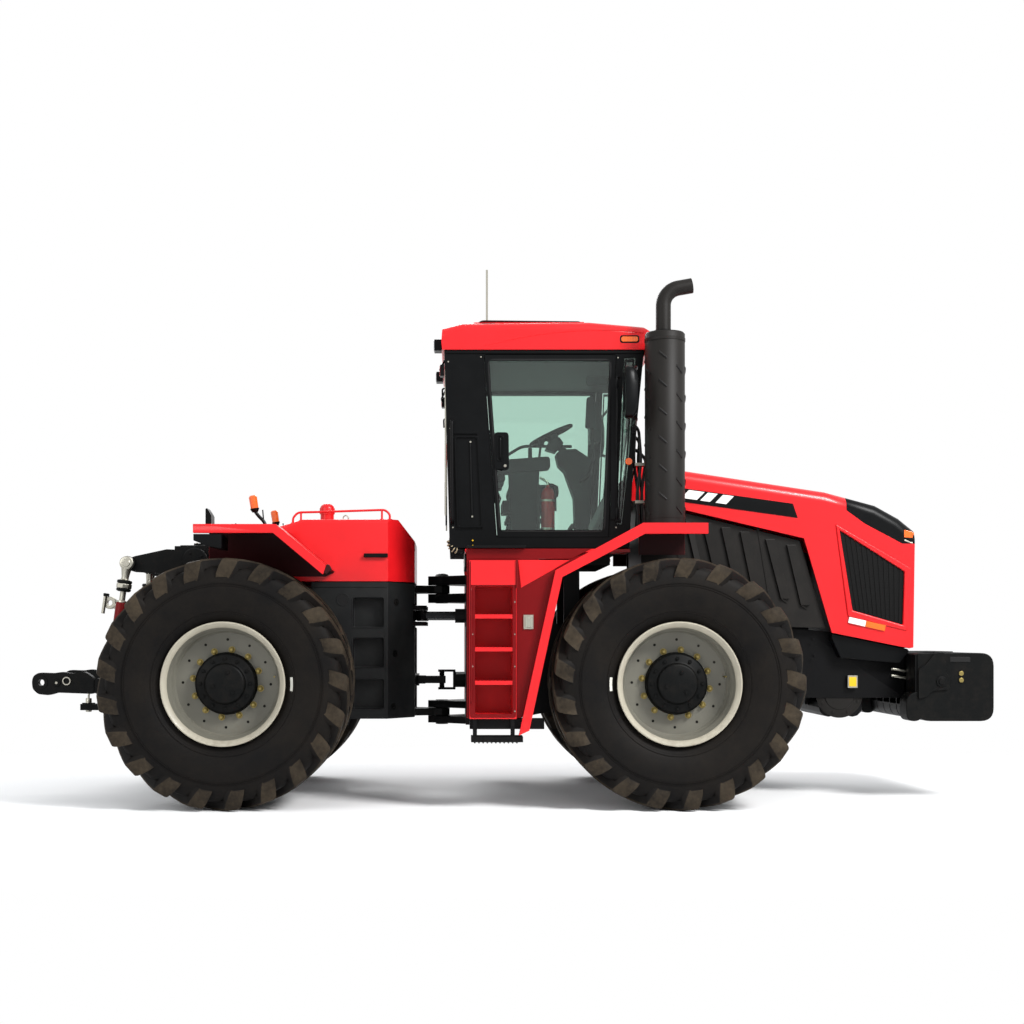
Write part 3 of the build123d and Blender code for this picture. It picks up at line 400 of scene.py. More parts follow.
def add_tube(bm, route, radius, sides=12, bend=0.0, material=0, flat=None):
    """A round (or flat) bar along a route, closed at its ends."""
    path = rounded_route(route, bend)
    wide = radius if flat is None else flat
    rings = []
    up = None
    for i, spot in enumerate(path):
        ahead = path[min(i + 1, len(path) - 1)] - path[max(i - 1, 0)]
        ahead.normalize()
        up = (ahead.orthogonal() if up is None else up - ahead * up.dot(ahead)).normalized()
        across = ahead.cross(up)
        turns = [math.tau * k / sides for k in range(sides)]
        rings.append([bm.verts.new(spot + up * math.cos(turn) * radius + across * math.sin(turn) * wide)
                      for turn in turns])
    made = [bm.faces.new([first[k], first[(k + 1) % sides], second[(k + 1) % sides], second[k]])
            for first, second in zip(rings, rings[1:]) for k in range(sides)]
    for face in made + [bm.faces.new(rings[0][::-1]), bm.faces.new(rings[-1])]:
        face.material_index = material


def add_hexes(bm, spots, axis, across, height, material=0):
    """Hexagon heads standing on spots, with a washer under each."""
    for spot in spots:
        add_lathe(bm, [(0, across * 0.72), (height * 0.2, across * 0.72)], spot, axis, 12, material)
        head = [(height * 0.2, across * 0.577), (height * 0.85, across * 0.577), (height, across * 0.47)]
        add_lathe(bm, head, spot, axis, 6, material, start=axis[0])


def soften(piece, width, segments):
    """Break a piece's sharp edges."""
    if width:
        soft = piece.modifiers.new("edge", "BEVEL")
        soft.width, soft.segments = width, segments
        soft.limit_method, soft.angle_limit = "ANGLE", math.radians(30)
        soft.harden_normals = soft.use_clamp_overlap = True


def finish_piece(bm, name, body, finishes, bevel=0.0, segments=2, replaces=(), angle=35, slot=None):
    """Make the object, ride it on its body and give it its finishes, the leading one first."""
    finishes = finishes.split()
    bmesh.ops.recalc_face_normals(bm, faces=bm.faces)
    mesh = bpy.data.meshes.new(name)
    bm.to_mesh(mesh)
    bm.free()
    for key in finishes:
        mesh.materials.append(M[key])
    mesh.shade_smooth()
    mesh.set_sharp_from_angle(angle=math.radians(angle))
    piece = bpy.data.objects.new(name, mesh)
    bpy.context.scene.collection.objects.link(piece)
    soften(piece, bevel, segments)
    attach(piece, body)
    if replaces:
        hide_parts(*replaces)
    return piece


def finish_pair(bm, name, body, finishes, once=(), **looks):
    """Finish a piece that is drawn on the left, and its mirror image; once: nodes that one side replaces."""
    for label, side in SIDES:
        half = bm.copy()
        bmesh.ops.scale(half, vec=(1, side, 1), verts=half.verts)
        ridden = f"door_{label}" if body == "door" else body
        taken = {"replaces": once} if once and side < 0 else {}
        finish_piece(half, f"{name}_{label}", ridden, finishes, **looks, **taken)
    bm.free()


def dress(node, key, bevel):
    """Give a frame node its finish and break its sharp edges."""
    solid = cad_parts[node]
    solid.data.materials.clear()
    solid.data.materials.append(M[key])
    if bevel:
        weld = solid.modifiers.new("weld", "WELD")
        weld.merge_threshold = 0.00005
    soften(solid, bevel, 2)


def reshaped(node, body, finishes, moves, cut=None, bevel=0.005):
    """A copy of a frame node in place of it, with its corners moved in side view.

    Each move is the x and lowest z of the corners that it takes, and how far they go along x and z.
    """
    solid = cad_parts[node]
    bm = bmesh.new()
    bm.from_mesh(solid.data)
    bm.transform(solid.matrix_world)
    bmesh.ops.remove_doubles(bm, verts=bm.verts, dist=0.00005)
    if cut is not None:
        everything = bm.verts[:] + bm.edges[:] + bm.faces[:]
        bmesh.ops.bisect_plane(bm, geom=everything, plane_co=(cut, 0, 0), plane_no=(1, 0, 0))
    for vert in bm.verts:
        for x, low, along, up in moves:
            if abs(vert.co.x - x) < 0.001 and vert.co.z > low - 0.001:
                vert.co.x += along
                vert.co.z += up
                break
    return finish_piece(bm, f"reshaped_{node}", body, finishes, bevel=bevel, replaces=[node])


def repaint(node, key, chosen):
    """Give a frame node's faces that a rule picks (by middle and outward direction) another finish."""
    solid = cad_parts[node]
    solid.data.materials.append(M[key])
    index = len(solid.data.materials) - 1
    place = solid.matrix_world
    for face in solid.data.polygons:
        if chosen(place @ face.center, face.normal):
            face.material_index = index


# ---------------------------------------------------------------------------
# Sizes and colours a user would change
# ---------------------------------------------------------------------------
class TractorColours(bpy.types.PropertyGroup):
    """Finish colours, as sRGB hex values."""
    red: StringProperty(name="Red enamel", description="Body panels", default="D3161C")
    # painted shade: the fenders' insides
    red_shade: StringProperty(name="Red enamel, inner, painted shade", description="Fenders' insides", default="2E0709")
    # painted shade: the ladder panels and the tank's underside
    red_side: StringProperty(name="Red enamel, side, painted shade", description="Ladder panels", default="6A070B")
    black: StringProperty(name="Black enamel", description="Frames and axles", default="0A0A0B")
    # painted shade: the wheel's dish, darker than its flange
    disc: StringProperty(name="Disc enamel, painted shade", description="Wheel discs", default="6B695F")
    tread_dust: StringProperty(name="Tread dust", description="Dust on the lugs' faces", default="443B2F")
    rim: StringProperty(name="Wheel enamel", description="Rims and discs", default="A49E8E")
    rubber: StringProperty(name="Rubber", description="Tyres", default="090808")
    dust: StringProperty(name="Dust", description="Field dust on the tyres", default="181410")


class TyreSizes(bpy.types.PropertyGroup):
    """The moulded form of one tyre."""
    lugs: IntProperty(name="Lugs", description="Lugs on each side of the tread", default=21, min=8, max=40)
    lug_depth: FloatProperty(name="Lug depth", description="Height of a lug over the carcass", default=0.062,
                             unit="LENGTH")
    lug_width: FloatProperty(name="Lug width", description="Thickness of a lug at its top", default=0.064,
                             unit="LENGTH")
    sweep: FloatProperty(name="Lug sweep", description="How far a lug trails round the tread", default=0.335,
                         unit="LENGTH")


class RimSizes(bpy.types.PropertyGroup):
    """Fixings of one wheel disc."""
    studs: IntProperty(name="Studs", description="Wheel studs, and small holes", default=12, min=6, max=24)
    stud_circle: FloatProperty(name="Stud circle", description="Radius of the circle of studs", default=0.247,
                               unit="LENGTH")


# ---------------------------------------------------------------------------
# Wheels


# ---------------------------------------------------------------------------
# section of the carcass: share of the half width, share of the outer radius
CARCASS = ((0.73, 0.492), (0.765, 0.486), (0.8, 0.496), (0.828, 0.52), (0.885, 0.56), (0.94, 0.62),
           (0.972, 0.69), (0.98, 0.76), (0.972, 0.815), (0.955, 0.866), (0.93, 0.899), (0.885, 0.925),
           (0.78, 0.937), (0.5, 0.943), (0.2, 0.945), (0.0, 0.945))
# moulded rings on the sidewall: share of the half width, share of the outer radius, width
SIDEWALL_RINGS = ((0.868, 0.548, 0.012), (0.896, 0.566, 0.006), (0.982, 0.772, 0.008), (0.98, 0.79, 0.004))
# lug's run down the shoulder: drop, share of the half width, share of the thickness
SHOULDER = ((0.014, 0.985, 0.98), (0.045, 1.0, 1.0), (0.105, 0.995, 0.92), (0.142, 0.965, 0.8))


def lug_ring(bm, side, turn, reach, trail, radius, thick, sizes, tilt=0.0):
    """One cross-section of a lug, as six corners round its top."""
    root = radius - sizes.lug_depth * 1.12
    corners = ((-thick - 0.016, root), (-thick - 0.003, radius - 0.012), (-thick + 0.008, radius),
        (thick - 0.008, radius), (thick + 0.003, radius - 0.012), (thick + 0.016, root))
    ring = []
    for offset, r in corners:
        angle = turn + (offset - trail) / radius
        out = reach + (tilt if r == root else 0.0)
        ring.append(bm.verts.new((r * math.sin(angle), side * out, r * math.cos(angle))))
    return ring


def add_lug(bm, side, turn, sizes, radius, half):
    """One lug: a curved bar from the middle of the tread, then down the shoulder."""
    stations = 7
    rings = []
    for step in range(stations + 1):
        share = step / stations
        reach = half * (0.02 + 0.91 * share)
        trail = sizes.sweep * share ** 1.15
        top = radius * (1.0 - 0.016 * max(0.0, share - 0.35) ** 2)
        thick = sizes.lug_width / 2 * (0.86 + 0.86 * share ** 1.6)
        rings.append(lug_ring(bm, side, turn, reach, trail, top, thick, sizes))
    thick = sizes.lug_width / 2 * 1.78
    for drop, share, swell in SHOULDER:
        rings.append(lug_ring(bm, side, turn, half * share, sizes.sweep * 1.03, radius - drop, thick * swell,
            sizes, -0.02))
    for first, second in zip(rings, rings[1:]):
        for k in range(5):
            face = bm.faces.new([first[k], first[k + 1], second[k + 1], second[k]])
            face.material_index = 1 if k in (1, 2, 3) else 0
    bm.faces.new(rings[0])
    bm.faces.new(rings[-1][::-1])


def tyre_mesh(sizes, radius, half):
    """One tyre about its own middle, axle along Y."""
    bm = bmesh.new()
    profile = [(-share * half, r * radius) for share, r in CARCASS]
    profile += [(share * half, r * radius) for share, r in CARCASS[-2::-1]]
    profile += [(0.7 * half, 0.468 * radius), (-0.7 * half, 0.468 * radius)]
    add_lathe(bm, profile, (0, 0, 0), "Y", 144, closed=True)
    for side in (-1, 1):
        for share, r, width in SIDEWALL_RINGS:
            y, low = side * share * half, r * radius
            add_lathe(bm, [(y - side * 0.004, low), (y + side * 0.0025, low + width * 0.25),
                (y + side * 0.0025, low + width * 0.75), (y - side * 0.004, low + width)], (0, 0, 0), "Y", 96,
                closed=True)
        pitch = math.tau / sizes.lugs
        for lug in range(sizes.lugs):
            add_lug(bm, side, lug * pitch + (pitch / 2 if side < 0 else 0), sizes, radius, half)
    return bm


class TRACTOR_OT_tyres(bpy.types.Operator):
    """Mould the four tyres."""
    bl_idname = "tractor.tyres"
    bl_label = "Tyres"

    def execute(self, context):
        sizes = context.scene.tractor_tyre
        for end in ENDS:
            for label, side in SIDES:
                node = f"tyre_{end}_{label}"
                low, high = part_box(node)
                centre = (low + high) / 2
                bm = tyre_mesh(sizes, centre.z - low.z, (high.y - low.y) / 2)
                bmesh.ops.translate(bm, verts=bm.verts, vec=centre)
                finish_piece(bm, f"moulded_{node}", f"wheel_{end}_{label}", "rubber tread", replaces=[node],
                    angle=40)
                # dab of marking paint where the tyre was matched to its rim
                bm = bmesh.new()
                half = (high.y - low.y) / 2
                start = math.pi / 2 - side * math.pi / 4 - 0.1 + (math.pi if end == "front" else 0.0)
                add_lathe(bm, [(0.835 * half, 0.48), (0.852 * half, 0.48), (0.88 * half, 0.499),
                    (0.863 * half, 0.499)], centre, (0, side, 0), 8, start=start, sweep=0.2, closed=True)
                finish_piece(bm, f"paint_mark_{end}_{label}", f"wheel_{end}_{label}", "marking")
        return {"FINISHED"}


# rim section, outer side then inner side: distance outboard of the middle, radius
RIM_SECTION = mm("318 420, 332 434, 340 443, 350 446, 357 442, 357 436, 350 428, 338 414, 322 403, 300 398, "
    "252 394, 244 388, 176 384, 160 380, 152 374, 140 368, 140 150, 124 150, 124 372, 100 382, -300 398, "
    "-338 414, -357 436, -350 446, -332 434, -318 420")
# planetary hub: distance outboard, radius
HUB_SECTION = mm("132 224, 158 226, 162 221, 206 220, 216 214, 224 202, 226 160, 232 150, 252 146, 262 138, "
    "266 128, 268 0")
WHEEL_HOLE_CIRCLE = 0.318


def around(centre, radius, count, phase, y):
    """Points on a circle about an axle."""
    turns = [phase + math.tau * step / count for step in range(count)]
    ring = [(radius * math.sin(turn), radius * math.cos(turn)) for turn in turns]
    return [Vector((centre.x + ahead, y, centre.z + up)) for ahead, up in ring]


class TRACTOR_OT_rims(bpy.types.Operator):
    """Turn the four rims, with their hubs, studs and nuts."""
    bl_idname = "tractor.rims"
    bl_label = "Rims and hubs"

    def execute(self, context):
        sizes = context.scene.tractor_rim
        for end in ENDS:
            for label, side in SIDES:
                node = f"rim_{end}_{label}"
                centre = middle(f"tyre_{end}_{label}")
                outboard = (0, side, 0)
                bm = bmesh.new()
                _, made = add_lathe(bm, RIM_SECTION, centre, outboard, 96, closed=True)
                # faces of the dish inside the flange take the darker disc enamel: painted shade
                for face in made:
                    spread = face.calc_center_median() - centre
                    if math.hypot(spread.x, spread.z) < 0.401 and spread.y * side > 0:
                        face.material_index = 4
                disc = centre.y + side * 0.14
                for spot in around(centre, sizes.stud_circle, sizes.studs, 0.15, disc):
                    add_hexes(bm, [spot], outboard, 0.034, 0.026, 2)
                    add_disc(bm, spot, outboard, 0.011, 0.04, 10, 2, 0.002)
                # small holes drawn as dark rubber plugs: painted shade inside the holes
                for spot in around(centre, WHEEL_HOLE_CIRCLE, sizes.studs, 0.02, disc - side * 0.006):
                    add_lathe(bm, mm("0 0, 7.3 0, 7.3 10, 0 10"), spot, outboard, 12, 3, closed=True)
                # valve, standing in the dish
                add_tube(bm, [centre + Vector((0.345, side * 0.15, 0.05)),
                    centre + Vector((0.352, side * 0.215, 0.05))], 0.006, 8, 0.0, 2)
                finish_piece(bm, f"turned_{node}", f"wheel_{end}_{label}", "rim cast olive_zinc rubber disc",
                    replaces=[node], angle=34)
                bm = bmesh.new()
                add_lathe(bm, HUB_SECTION, centre, outboard, 72)
                for spot in around(centre, 0.182, 12, 0.0, centre.y + side * 0.225):
                    add_hexes(bm, [spot], outboard, 0.02, 0.013)
                for spot in around(centre, 0.085, 3, 0.3, centre.y + side * 0.267):
                    add_hexes(bm, [spot], outboard, 0.022, 0.012)
                finish_piece(bm, f"planetary_hub_{end}_{label}", f"wheel_{end}_{label}", "cast", angle=34)
        return {"FINISHED"}


# ---------------------------------------------------------------------------
# Frame nodes that keep their own shape


# ---------------------------------------------------------------------------
# node: finish, width of its softened edges
DRESSING = {
    "hinge_bulkhead": ("black", 0.005), "hinge_ears": ("cast", 0.006), "cylinder_lugs": ("black", 0.004),
    "cab_decks": ("black", 0.003), "front_frame": ("black", 0.005), "front_axle": ("cast", 0.012),
    "engine": ("grey_cast", 0.02),
    "cooling_pack": ("black", 0.006), "cab_shell": ("satin", 0.01), "cab_glass": ("glass", 0.0),
    "cab_roof": ("red", 0.02), "seat": ("cloth", 0.02), "steering_console": ("vinyl", 0.006),
    "front_fenders": ("red", 0.006), "ladders": ("red", 0.003), "exhaust_stack": ("black", 0.006),
    "mirrors": ("satin", 0.012), "work_lamps": ("satin", 0.008), "louvre_panels": ("louvre", 0.004),
    "nose_cowl": ("satin", 0.008), "weight_carrier": ("black", 0.004), "front_weights": ("cast", 0.01),
    "air_tanks": ("black", 0.012), "driveshaft_front": ("cast", 0.004), "hood": ("red", 0.016),
    "nose_cap": ("satin", 0.012), "hood_grilles": ("screen", 0.002), "rear_frame": ("black", 0.005),
    "rear_axle": ("cast", 0.012), "side_units": ("moulded", 0.012), "fuel_tank": ("red", 0.014),
    "rear_fenders": ("red", 0.006), "handrail": ("red", 0.0), "rear_lamps": ("amber", 0.006),
    "lift_housing": ("cast", 0.012), "drawbar": ("black", 0.004), "driveshaft_rear": ("cast", 0.004),
    "lift_arms": ("cast", 0.01), "lift_rods": ("black", 0.003), "lower_links": ("cast", 0.008),
    "top_link": ("black", 0.003),
    "door_right": ("satin", 0.006), "door_left": ("satin", 0.006),
    "door_right_glass": ("glass", 0.0), "door_left_glass": ("glass", 0.0),
    "steering_barrel_right": ("black", 0.003), "steering_barrel_left": ("black", 0.003),
    "steering_rod_right": ("nitride", 0.002), "steering_rod_left": ("nitride", 0.002),
}


class TRACTOR_OT_finishes(bpy.types.Operator):
    """Mix the finishes and dress the frame's own solids in them."""
    bl_idname = "tractor.finishes"
    bl_label = "Finishes"

    def execute(self, context):
        make_materials(context.scene.tractor_colours)
        for node, (key, edge) in DRESSING.items():
            dress(node, key, edge)
        # what lies in shade or is not red on the red parts
        repaint("cab_roof", "zinc", lambda at, out: at.z > 3.62)
        # fenders' undersides and inner walls in darker red: painted shade
        for node, inner in (("front_fenders", 1.335), ("rear_fenders", 1.339)):
            repaint(node, "dark_red",
                lambda at, out: abs(at.y) < inner and (out.z < -0.1 or abs(out.y) > 0.5))
        # the ladders' wells in duller red: painted shade
        repaint("ladders", "well_red", lambda at, out: abs(at.y) < 1.17)
        # the ladder panels in darker red: painted shade
        repaint("ladders", "side_red", lambda at, out: 0.66 < at.z and abs(abs(at.y) - 1.334) < 0.002)
        repaint("ladders", "black", lambda at, out: at.z < 0.654)
        # the tank's downward faces in darker red: painted shade under it
        repaint("fuel_tank", "side_red", lambda at, out: out.z < -0.3)
        repaint("cab_shell", "underseal", lambda at, out: out.z < -0.5 and at.z < 2.2)
        return {"FINISHED"}


# ---------------------------------------------------------------------------
# Hood, nose and side panels


# ---------------------------------------------------------------------------
# decal band along the hood: x, z from its rear upper corner
BAND = mm("1080 2418, 2186 2263, 2224 2152, 1080 2312")
# slanted stripes at the band's rear: x of the foot, width along x
STRIPES = ((1.33, 0.12), (1.475, 0.075), (1.592, 0.082))
BAND_EDGE = 0.01


def band_height(x, share):
    """Height on the decal band at x, from its lower edge (0) to its upper (1)."""
    run = (x - BAND[0][0]) / (BAND[1][0] - BAND[0][0])
    upper = BAND[0][1] + (BAND[1][1] - BAND[0][1]) * run
    lower = BAND[3][1] + (BAND[2][1] - BAND[3][1]) * run
    return lower + (upper - lower) * share


def shrink(outline, amount):
    """An outline pulled towards its own middle by about amount."""
    count = len(outline)
    centre = Vector((sum(p[0] for p in outline) / count, sum(p[1] for p in outline) / count))
    moved = []
    for p in outline:
        way = centre - Vector(p)
        moved.append(tuple(Vector(p) + way.normalized() * amount * 1.3))
    return moved


def add_skewed_frame(bm, outline, inner, y_out, y_in):
    """A flat frame between two outlines of the same count."""
    count = len(outline)
    points = [(a, y, b) for y in (y_out, y_in) for ring in (outline, inner) for a, b in ring]
    faces = []
    for i in range(count):
        j = (i + 1) % count
        a, b, c, d = i, j, count + j, count + i
        faces += [[a, b, c, d], [a + 2 * count, d + 2 * count, c + 2 * count, b + 2 * count],
            [a, a + 2 * count, b + 2 * count, b], [d, c, c + 2 * count, d + 2 * count]]
    return add_faces(bm, points, faces, 0)


# outline of the mesh window in the hood's flank: x, z
WINDOW = mm("2541 2064, 3045 1745, 3030 1330, 2640 1441")


class TRACTOR_OT_hood_trim(bpy.types.Operator):
    """Trim the hood: decal band, window frames, screens, lamps and reflectors."""
    bl_idname = "tractor.hood_trim"
    bl_label = "Hood trim"

    def execute(self, context):
        nose, flank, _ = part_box("hood")[1]
        out = flank
        # film band with slanted stripes, and its pressed edge
        bm = bmesh.new()
        add_prism(bm, BAND, "Y", out - 0.002, out + 0.0012)
        for foot, width in STRIPES:
            spans = ((foot, 0.3), (foot + width, 0.3), (foot + width + 0.06, 0.94), (foot + 0.06, 0.94))
            add_prism(bm, [(x, band_height(x, share)) for x, share in spans], "Y", out, out + 0.002, 1)
        finish_pair(bm, "hood_band", "hood", "satin white")
        bm = bmesh.new()
        add_skewed_frame(bm, shrink(BAND, -BAND_EDGE), BAND, out - 0.003, out + 0.003)
        finish_pair(bm, "hood_band_edge", "hood", "red", bevel=0.002)
        # raised frame round the mesh window
        bm = bmesh.new()
        add_skewed_frame(bm, shrink(WINDOW, -0.042), shrink(WINDOW, 0.004), out - 0.02, out + 0.012)
        finish_pair(bm, "window_frame", "hood", "red", bevel=0.011, segments=3)
        # screen with vertical folds
        bm = bmesh.new()
        folds = 12
        top_rear, top_front, low_front, low_rear = (Vector(corner) for corner in WINDOW)
        for fold in range(folds):
            share, after = fold / folds, (fold + 0.62) / folds
            corners = [top_rear.lerp(top_front, share), top_rear.lerp(top_front, after),
                low_rear.lerp(low_front, after), low_rear.lerp(low_front, share)]
            add_prism(bm, corners, "Y", out - 0.022, out - 0.003)
        finish_pair(bm, "window_screen", "hood", "screen", bevel=0.002)
        # white and amber reflector strip under the window
        bm = bmesh.new()
        for start, stop, material in ((0.0, 0.46, 0), (0.47, 1.0, 1)):
            foot, run = Vector((2.616, 1.394)), Vector((0.279, -0.064))
            a, b = foot + run * start, foot + run * stop
            add_prism(bm, [tuple(a), tuple(b), (b.x - 0.008, b.y - 0.044), (a.x - 0.008, a.y - 0.044)],
                "Y", out, out + 0.0145, material)
        finish_pair(bm, "hood_reflector", "hood", "white orange_film", bevel=0.001)
        # nose: amber strip lamp and dark headlamps under the visor
        bm = bmesh.new()
        for side in (-1, 1):
            y = side * (flank - 0.145)
            add_block(bm, (nose - 0.034, nose - 0.001), (y, y + side * 0.13), (2.01, 2.045), 1)
            add_block(bm, (nose - 0.034, nose - 0.004), (y, y + side * 0.13), (1.962, 1.998))
            # each lamp wraps round to the flank, over a bright strip
            out = side * (flank + 0.003)
            add_prism(bm, mm("3039 2063, 3102 2050, 3106 2000, 3039 2004"), "Y", side * (flank - 0.06), out,
                1)
            add_prism(bm, mm("3039 1990, 3106 1964, 3106 1952, 3039 1978"), "Y", side * (flank - 0.01), out,
                2)
        finish_piece(bm, "nose_lamps", "hood", "satin amber zinc", bevel=0.004, slot="amber_lens")
        bm = bmesh.new()
        for row in range(9):
            z = 1.36 + row * 0.065
            add_block(bm, (nose - 0.03, nose - 0.012), (-flank + 0.092, flank - 0.092), (z, z + 0.016))
        for column in range(-4, 5):
            add_block(bm, (nose - 0.034, nose - 0.014), (column * 0.1 - 0.006, column * 0.1 + 0.006),
                (1.332, 1.928))
        finish_piece(bm, "nose_grille_bars", "hood", "satin", bevel=0.003, slot="mesh_black")
        return {"FINISHED"}


class TRACTOR_OT_side_panels(bpy.types.Operator):
    """Give the black side panels their folded louvres and joints."""
    bl_idname = "tractor.side_panels"
    bl_label = "Side panels"

    # louvre tops and feet: x, z, x, z
    LOUVRES = ((1.366, 2.14, 1.478, 1.655), (1.496, 2.118, 1.61, 1.64), (1.642, 2.085, 1.75, 1.6),
        (1.983, 1.992, 2.102, 1.534), (2.146, 1.949, 2.255, 1.484))

    def execute(self, context):
        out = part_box("louvre_panels")[1].y
        back, width = out - 0.034, 0.072
        bm = bmesh.new()
        for top_x, top_z, low_x, low_z in self.LOUVRES:
            # a folded blade: proud at its rear edge, flush at its front one
            front, far = top_x + width, low_x + width
            points = [(top_x, out, top_z), (front, out - 0.03, top_z - 0.022),
                (far, out - 0.03, low_z - 0.055), (low_x, out, low_z), (top_x, back, top_z),
                (front, back, top_z - 0.022), (far, back, low_z - 0.055), (low_x, back, low_z)]
            add_faces(bm, points, [[0, 1, 2, 3], [7, 6, 5, 4], [0, 4, 5, 1], [1, 5, 6, 2], [2, 6, 7, 3],
                [3, 7, 4, 0]], 0)
        for x_top, x_low in ((1.262, 1.38), (1.905, 2.03)):
            add_prism(bm, [(x_top, 2.17), (x_top + 0.016, 2.165), (x_low + 0.016, 1.4), (x_low, 1.4)],
                "Y", out - 0.026, out - 0.018)
        finish_pair(bm, "louvres", "front", "louvre", bevel=0.003)
        return {"FINISHED"}


# ---------------------------------------------------------------------------
# Cab


# ---------------------------------------------------------------------------
# window of a door: x, z round it; its corners are rounded by the seal
DOOR_WINDOW = mm("-58 2042, -148 3305, 752 3305, 702 2042")
# crease pressed in the roof's sides: x, z
ROOF_CREASE = mm("-180 3425, 150 3500, 480 3538, 826 3540, 1010 3520")
GLASS_CORNER = 0.055


def grow(outline, amount):
    """A four-cornered outline with each corner moved out (or in) along both axes."""
    centre_a = sum(p[0] for p in outline) / len(outline)
    centre_b = sum(p[1] for p in outline) / len(outline)
    step = math.copysign
    return [(a + step(amount, a - centre_a), b + step(amount, b - centre_b)) for a, b in outline]


class TRACTOR_OT_doors(bpy.types.Operator):
    """Fit the doors' seals, handles and hinges."""
    bl_idname = "tractor.doors"
    bl_label = "Doors"

    def execute(self, context):
        out = 0.85
        bm = bmesh.new()
        # rubber seal with round corners, over the pane's edge
        outer, inner = (rounded(grow(DOOR_WINDOW, 0.004), 0.012),
            rounded(grow(DOOR_WINDOW, -0.016), GLASS_CORNER))
        add_skewed_frame(bm, outer, inner, out - 0.034, out + 0.003)
        finish_pair(bm, "door_seal", "door", "hose", bevel=0.002)
        # pressed outer frame
        bm = bmesh.new()
        door = mm("-88 1995, -185 3350, 800 3350, 742 1995")
        add_skewed_frame(bm, rounded(grow(door, -0.004), 0.02), rounded(grow(door, -0.012), 0.02),
            out - 0.004, out + 0.004)
        # handle plate, its cup and its pull
        plate_line = rounded(mm("-109 2491, -112 2771, -4 2771, 0 2491"), 0.028)
        add_prism(bm, plate_line, "Y", out - 0.004, out + 0.012)
        cup = rounded(mm("-86 2560, -88 2740, -48 2740, -46 2560"), 0.015)
        add_skewed_frame(bm, rounded(mm("-94 2552, -96 2748, -40 2748, -38 2552"), 0.02), cup, out + 0.008,
            out + 0.016)
        finish_pair(bm, "door_frame", "door", "satin", bevel=0.003)
        bm = bmesh.new()
        add_tube(bm, [(-0.067, out + 0.008, 2.735), (-0.067, out + 0.02, 2.72),
            (-0.067, out + 0.02, 2.58), (-0.067, out + 0.008, 2.565)], 0.007, 10, 0.01)
        add_disc(bm, (-0.03, out + 0.012, 2.52), (0, 1, 0), 0.011, 0.004, 16, 1, 0.001)
        for z in (2.16, 2.65, 3.14):
            add_lathe(bm, mm("-45 11.5, -42 13, 42 13, 45 11.5"), (0.803, 0.864, z), "Z", 20)
        finish_pair(bm, "door_pull", "door", "satin zinc")
        return {"FINISHED"}


class TRACTOR_OT_cab_panels(bpy.types.Operator):
    """Press the cab's rear side panels, sills and window seals."""
    bl_idname = "tractor.cab_panels"
    bl_label = "Cab panels"

    def execute(self, context):
        out = 0.85
        # pressed panel with a groove and its hook
        bm = bmesh.new()
        panel = mm("-378 2070, -398 2733, -240 2733, -207 2070")
        add_skewed_frame(bm, rounded(grow(panel, 0.012), 0.02), rounded(panel, 0.02), out - 0.015,
            out + 0.003)
        add_tube(bm, [(-0.29, out - 0.01, 2.69), (-0.275, out - 0.01, 2.15)], 0.009, 8)
        add_prism(bm, mm("-283 1906, -283 2000, 780 2000, 780 1906"), "Y", out, out + 0.004)
        # drip rail over the door
        add_prism(bm, mm("-470 3362, -470 3380, 985 3380, 985 3362"), "Y", out - 0.002, out + 0.012)
        finish_pair(bm, "cab_panel", "front", "satin", bevel=0.003)
        bm = bmesh.new()
        add_disc(bm, (-0.289, out - 0.014, 2.7), (0, 1, 0), 0.007, 0.016, 12)
        add_disc(bm, (-0.276, out - 0.014, 2.142), (0, 1, 0), 0.007, 0.012, 12)
        spots = [(-0.273, out + 0.001, z) for z in (1.962, 1.922)]
        add_hexes(bm, spots, (0, 1, 0), 0.012, 0.008, 1)
        for x, z in mm("-210 3335, -420 2060, -440 2800, -455 3300, 815 3330, 800 2060"):
            add_disc(bm, (x, out + 0.001, z), (0, 1, 0), 0.006, 0.003, 10, 0, 0.001)
        finish_pair(bm, "cab_screws", "front", "zinc yellow", slot="black_moulding")
        # red lip under the sill
        bm = bmesh.new()
        add_block(bm, (-0.33, 0.905), (0.6, 0.862), (1.872, 1.9))
        finish_pair(bm, "sill_lip", "front", "red", bevel=0.004)
        # seal of the narrow front window
        bm = bmesh.new()
        quarter = mm("817 2092, 868 3318, 938 3318, 886 2560, 838 2092")
        inner = mm("828 2110, 876 3300, 926 3300, 876 2560, 834 2110")
        add_skewed_frame(bm, quarter, inner, out - 0.026, out + 0.002)
        finish_pair(bm, "quarter_seal", "front", "hose", bevel=0.002)
        return {"FINISHED"}


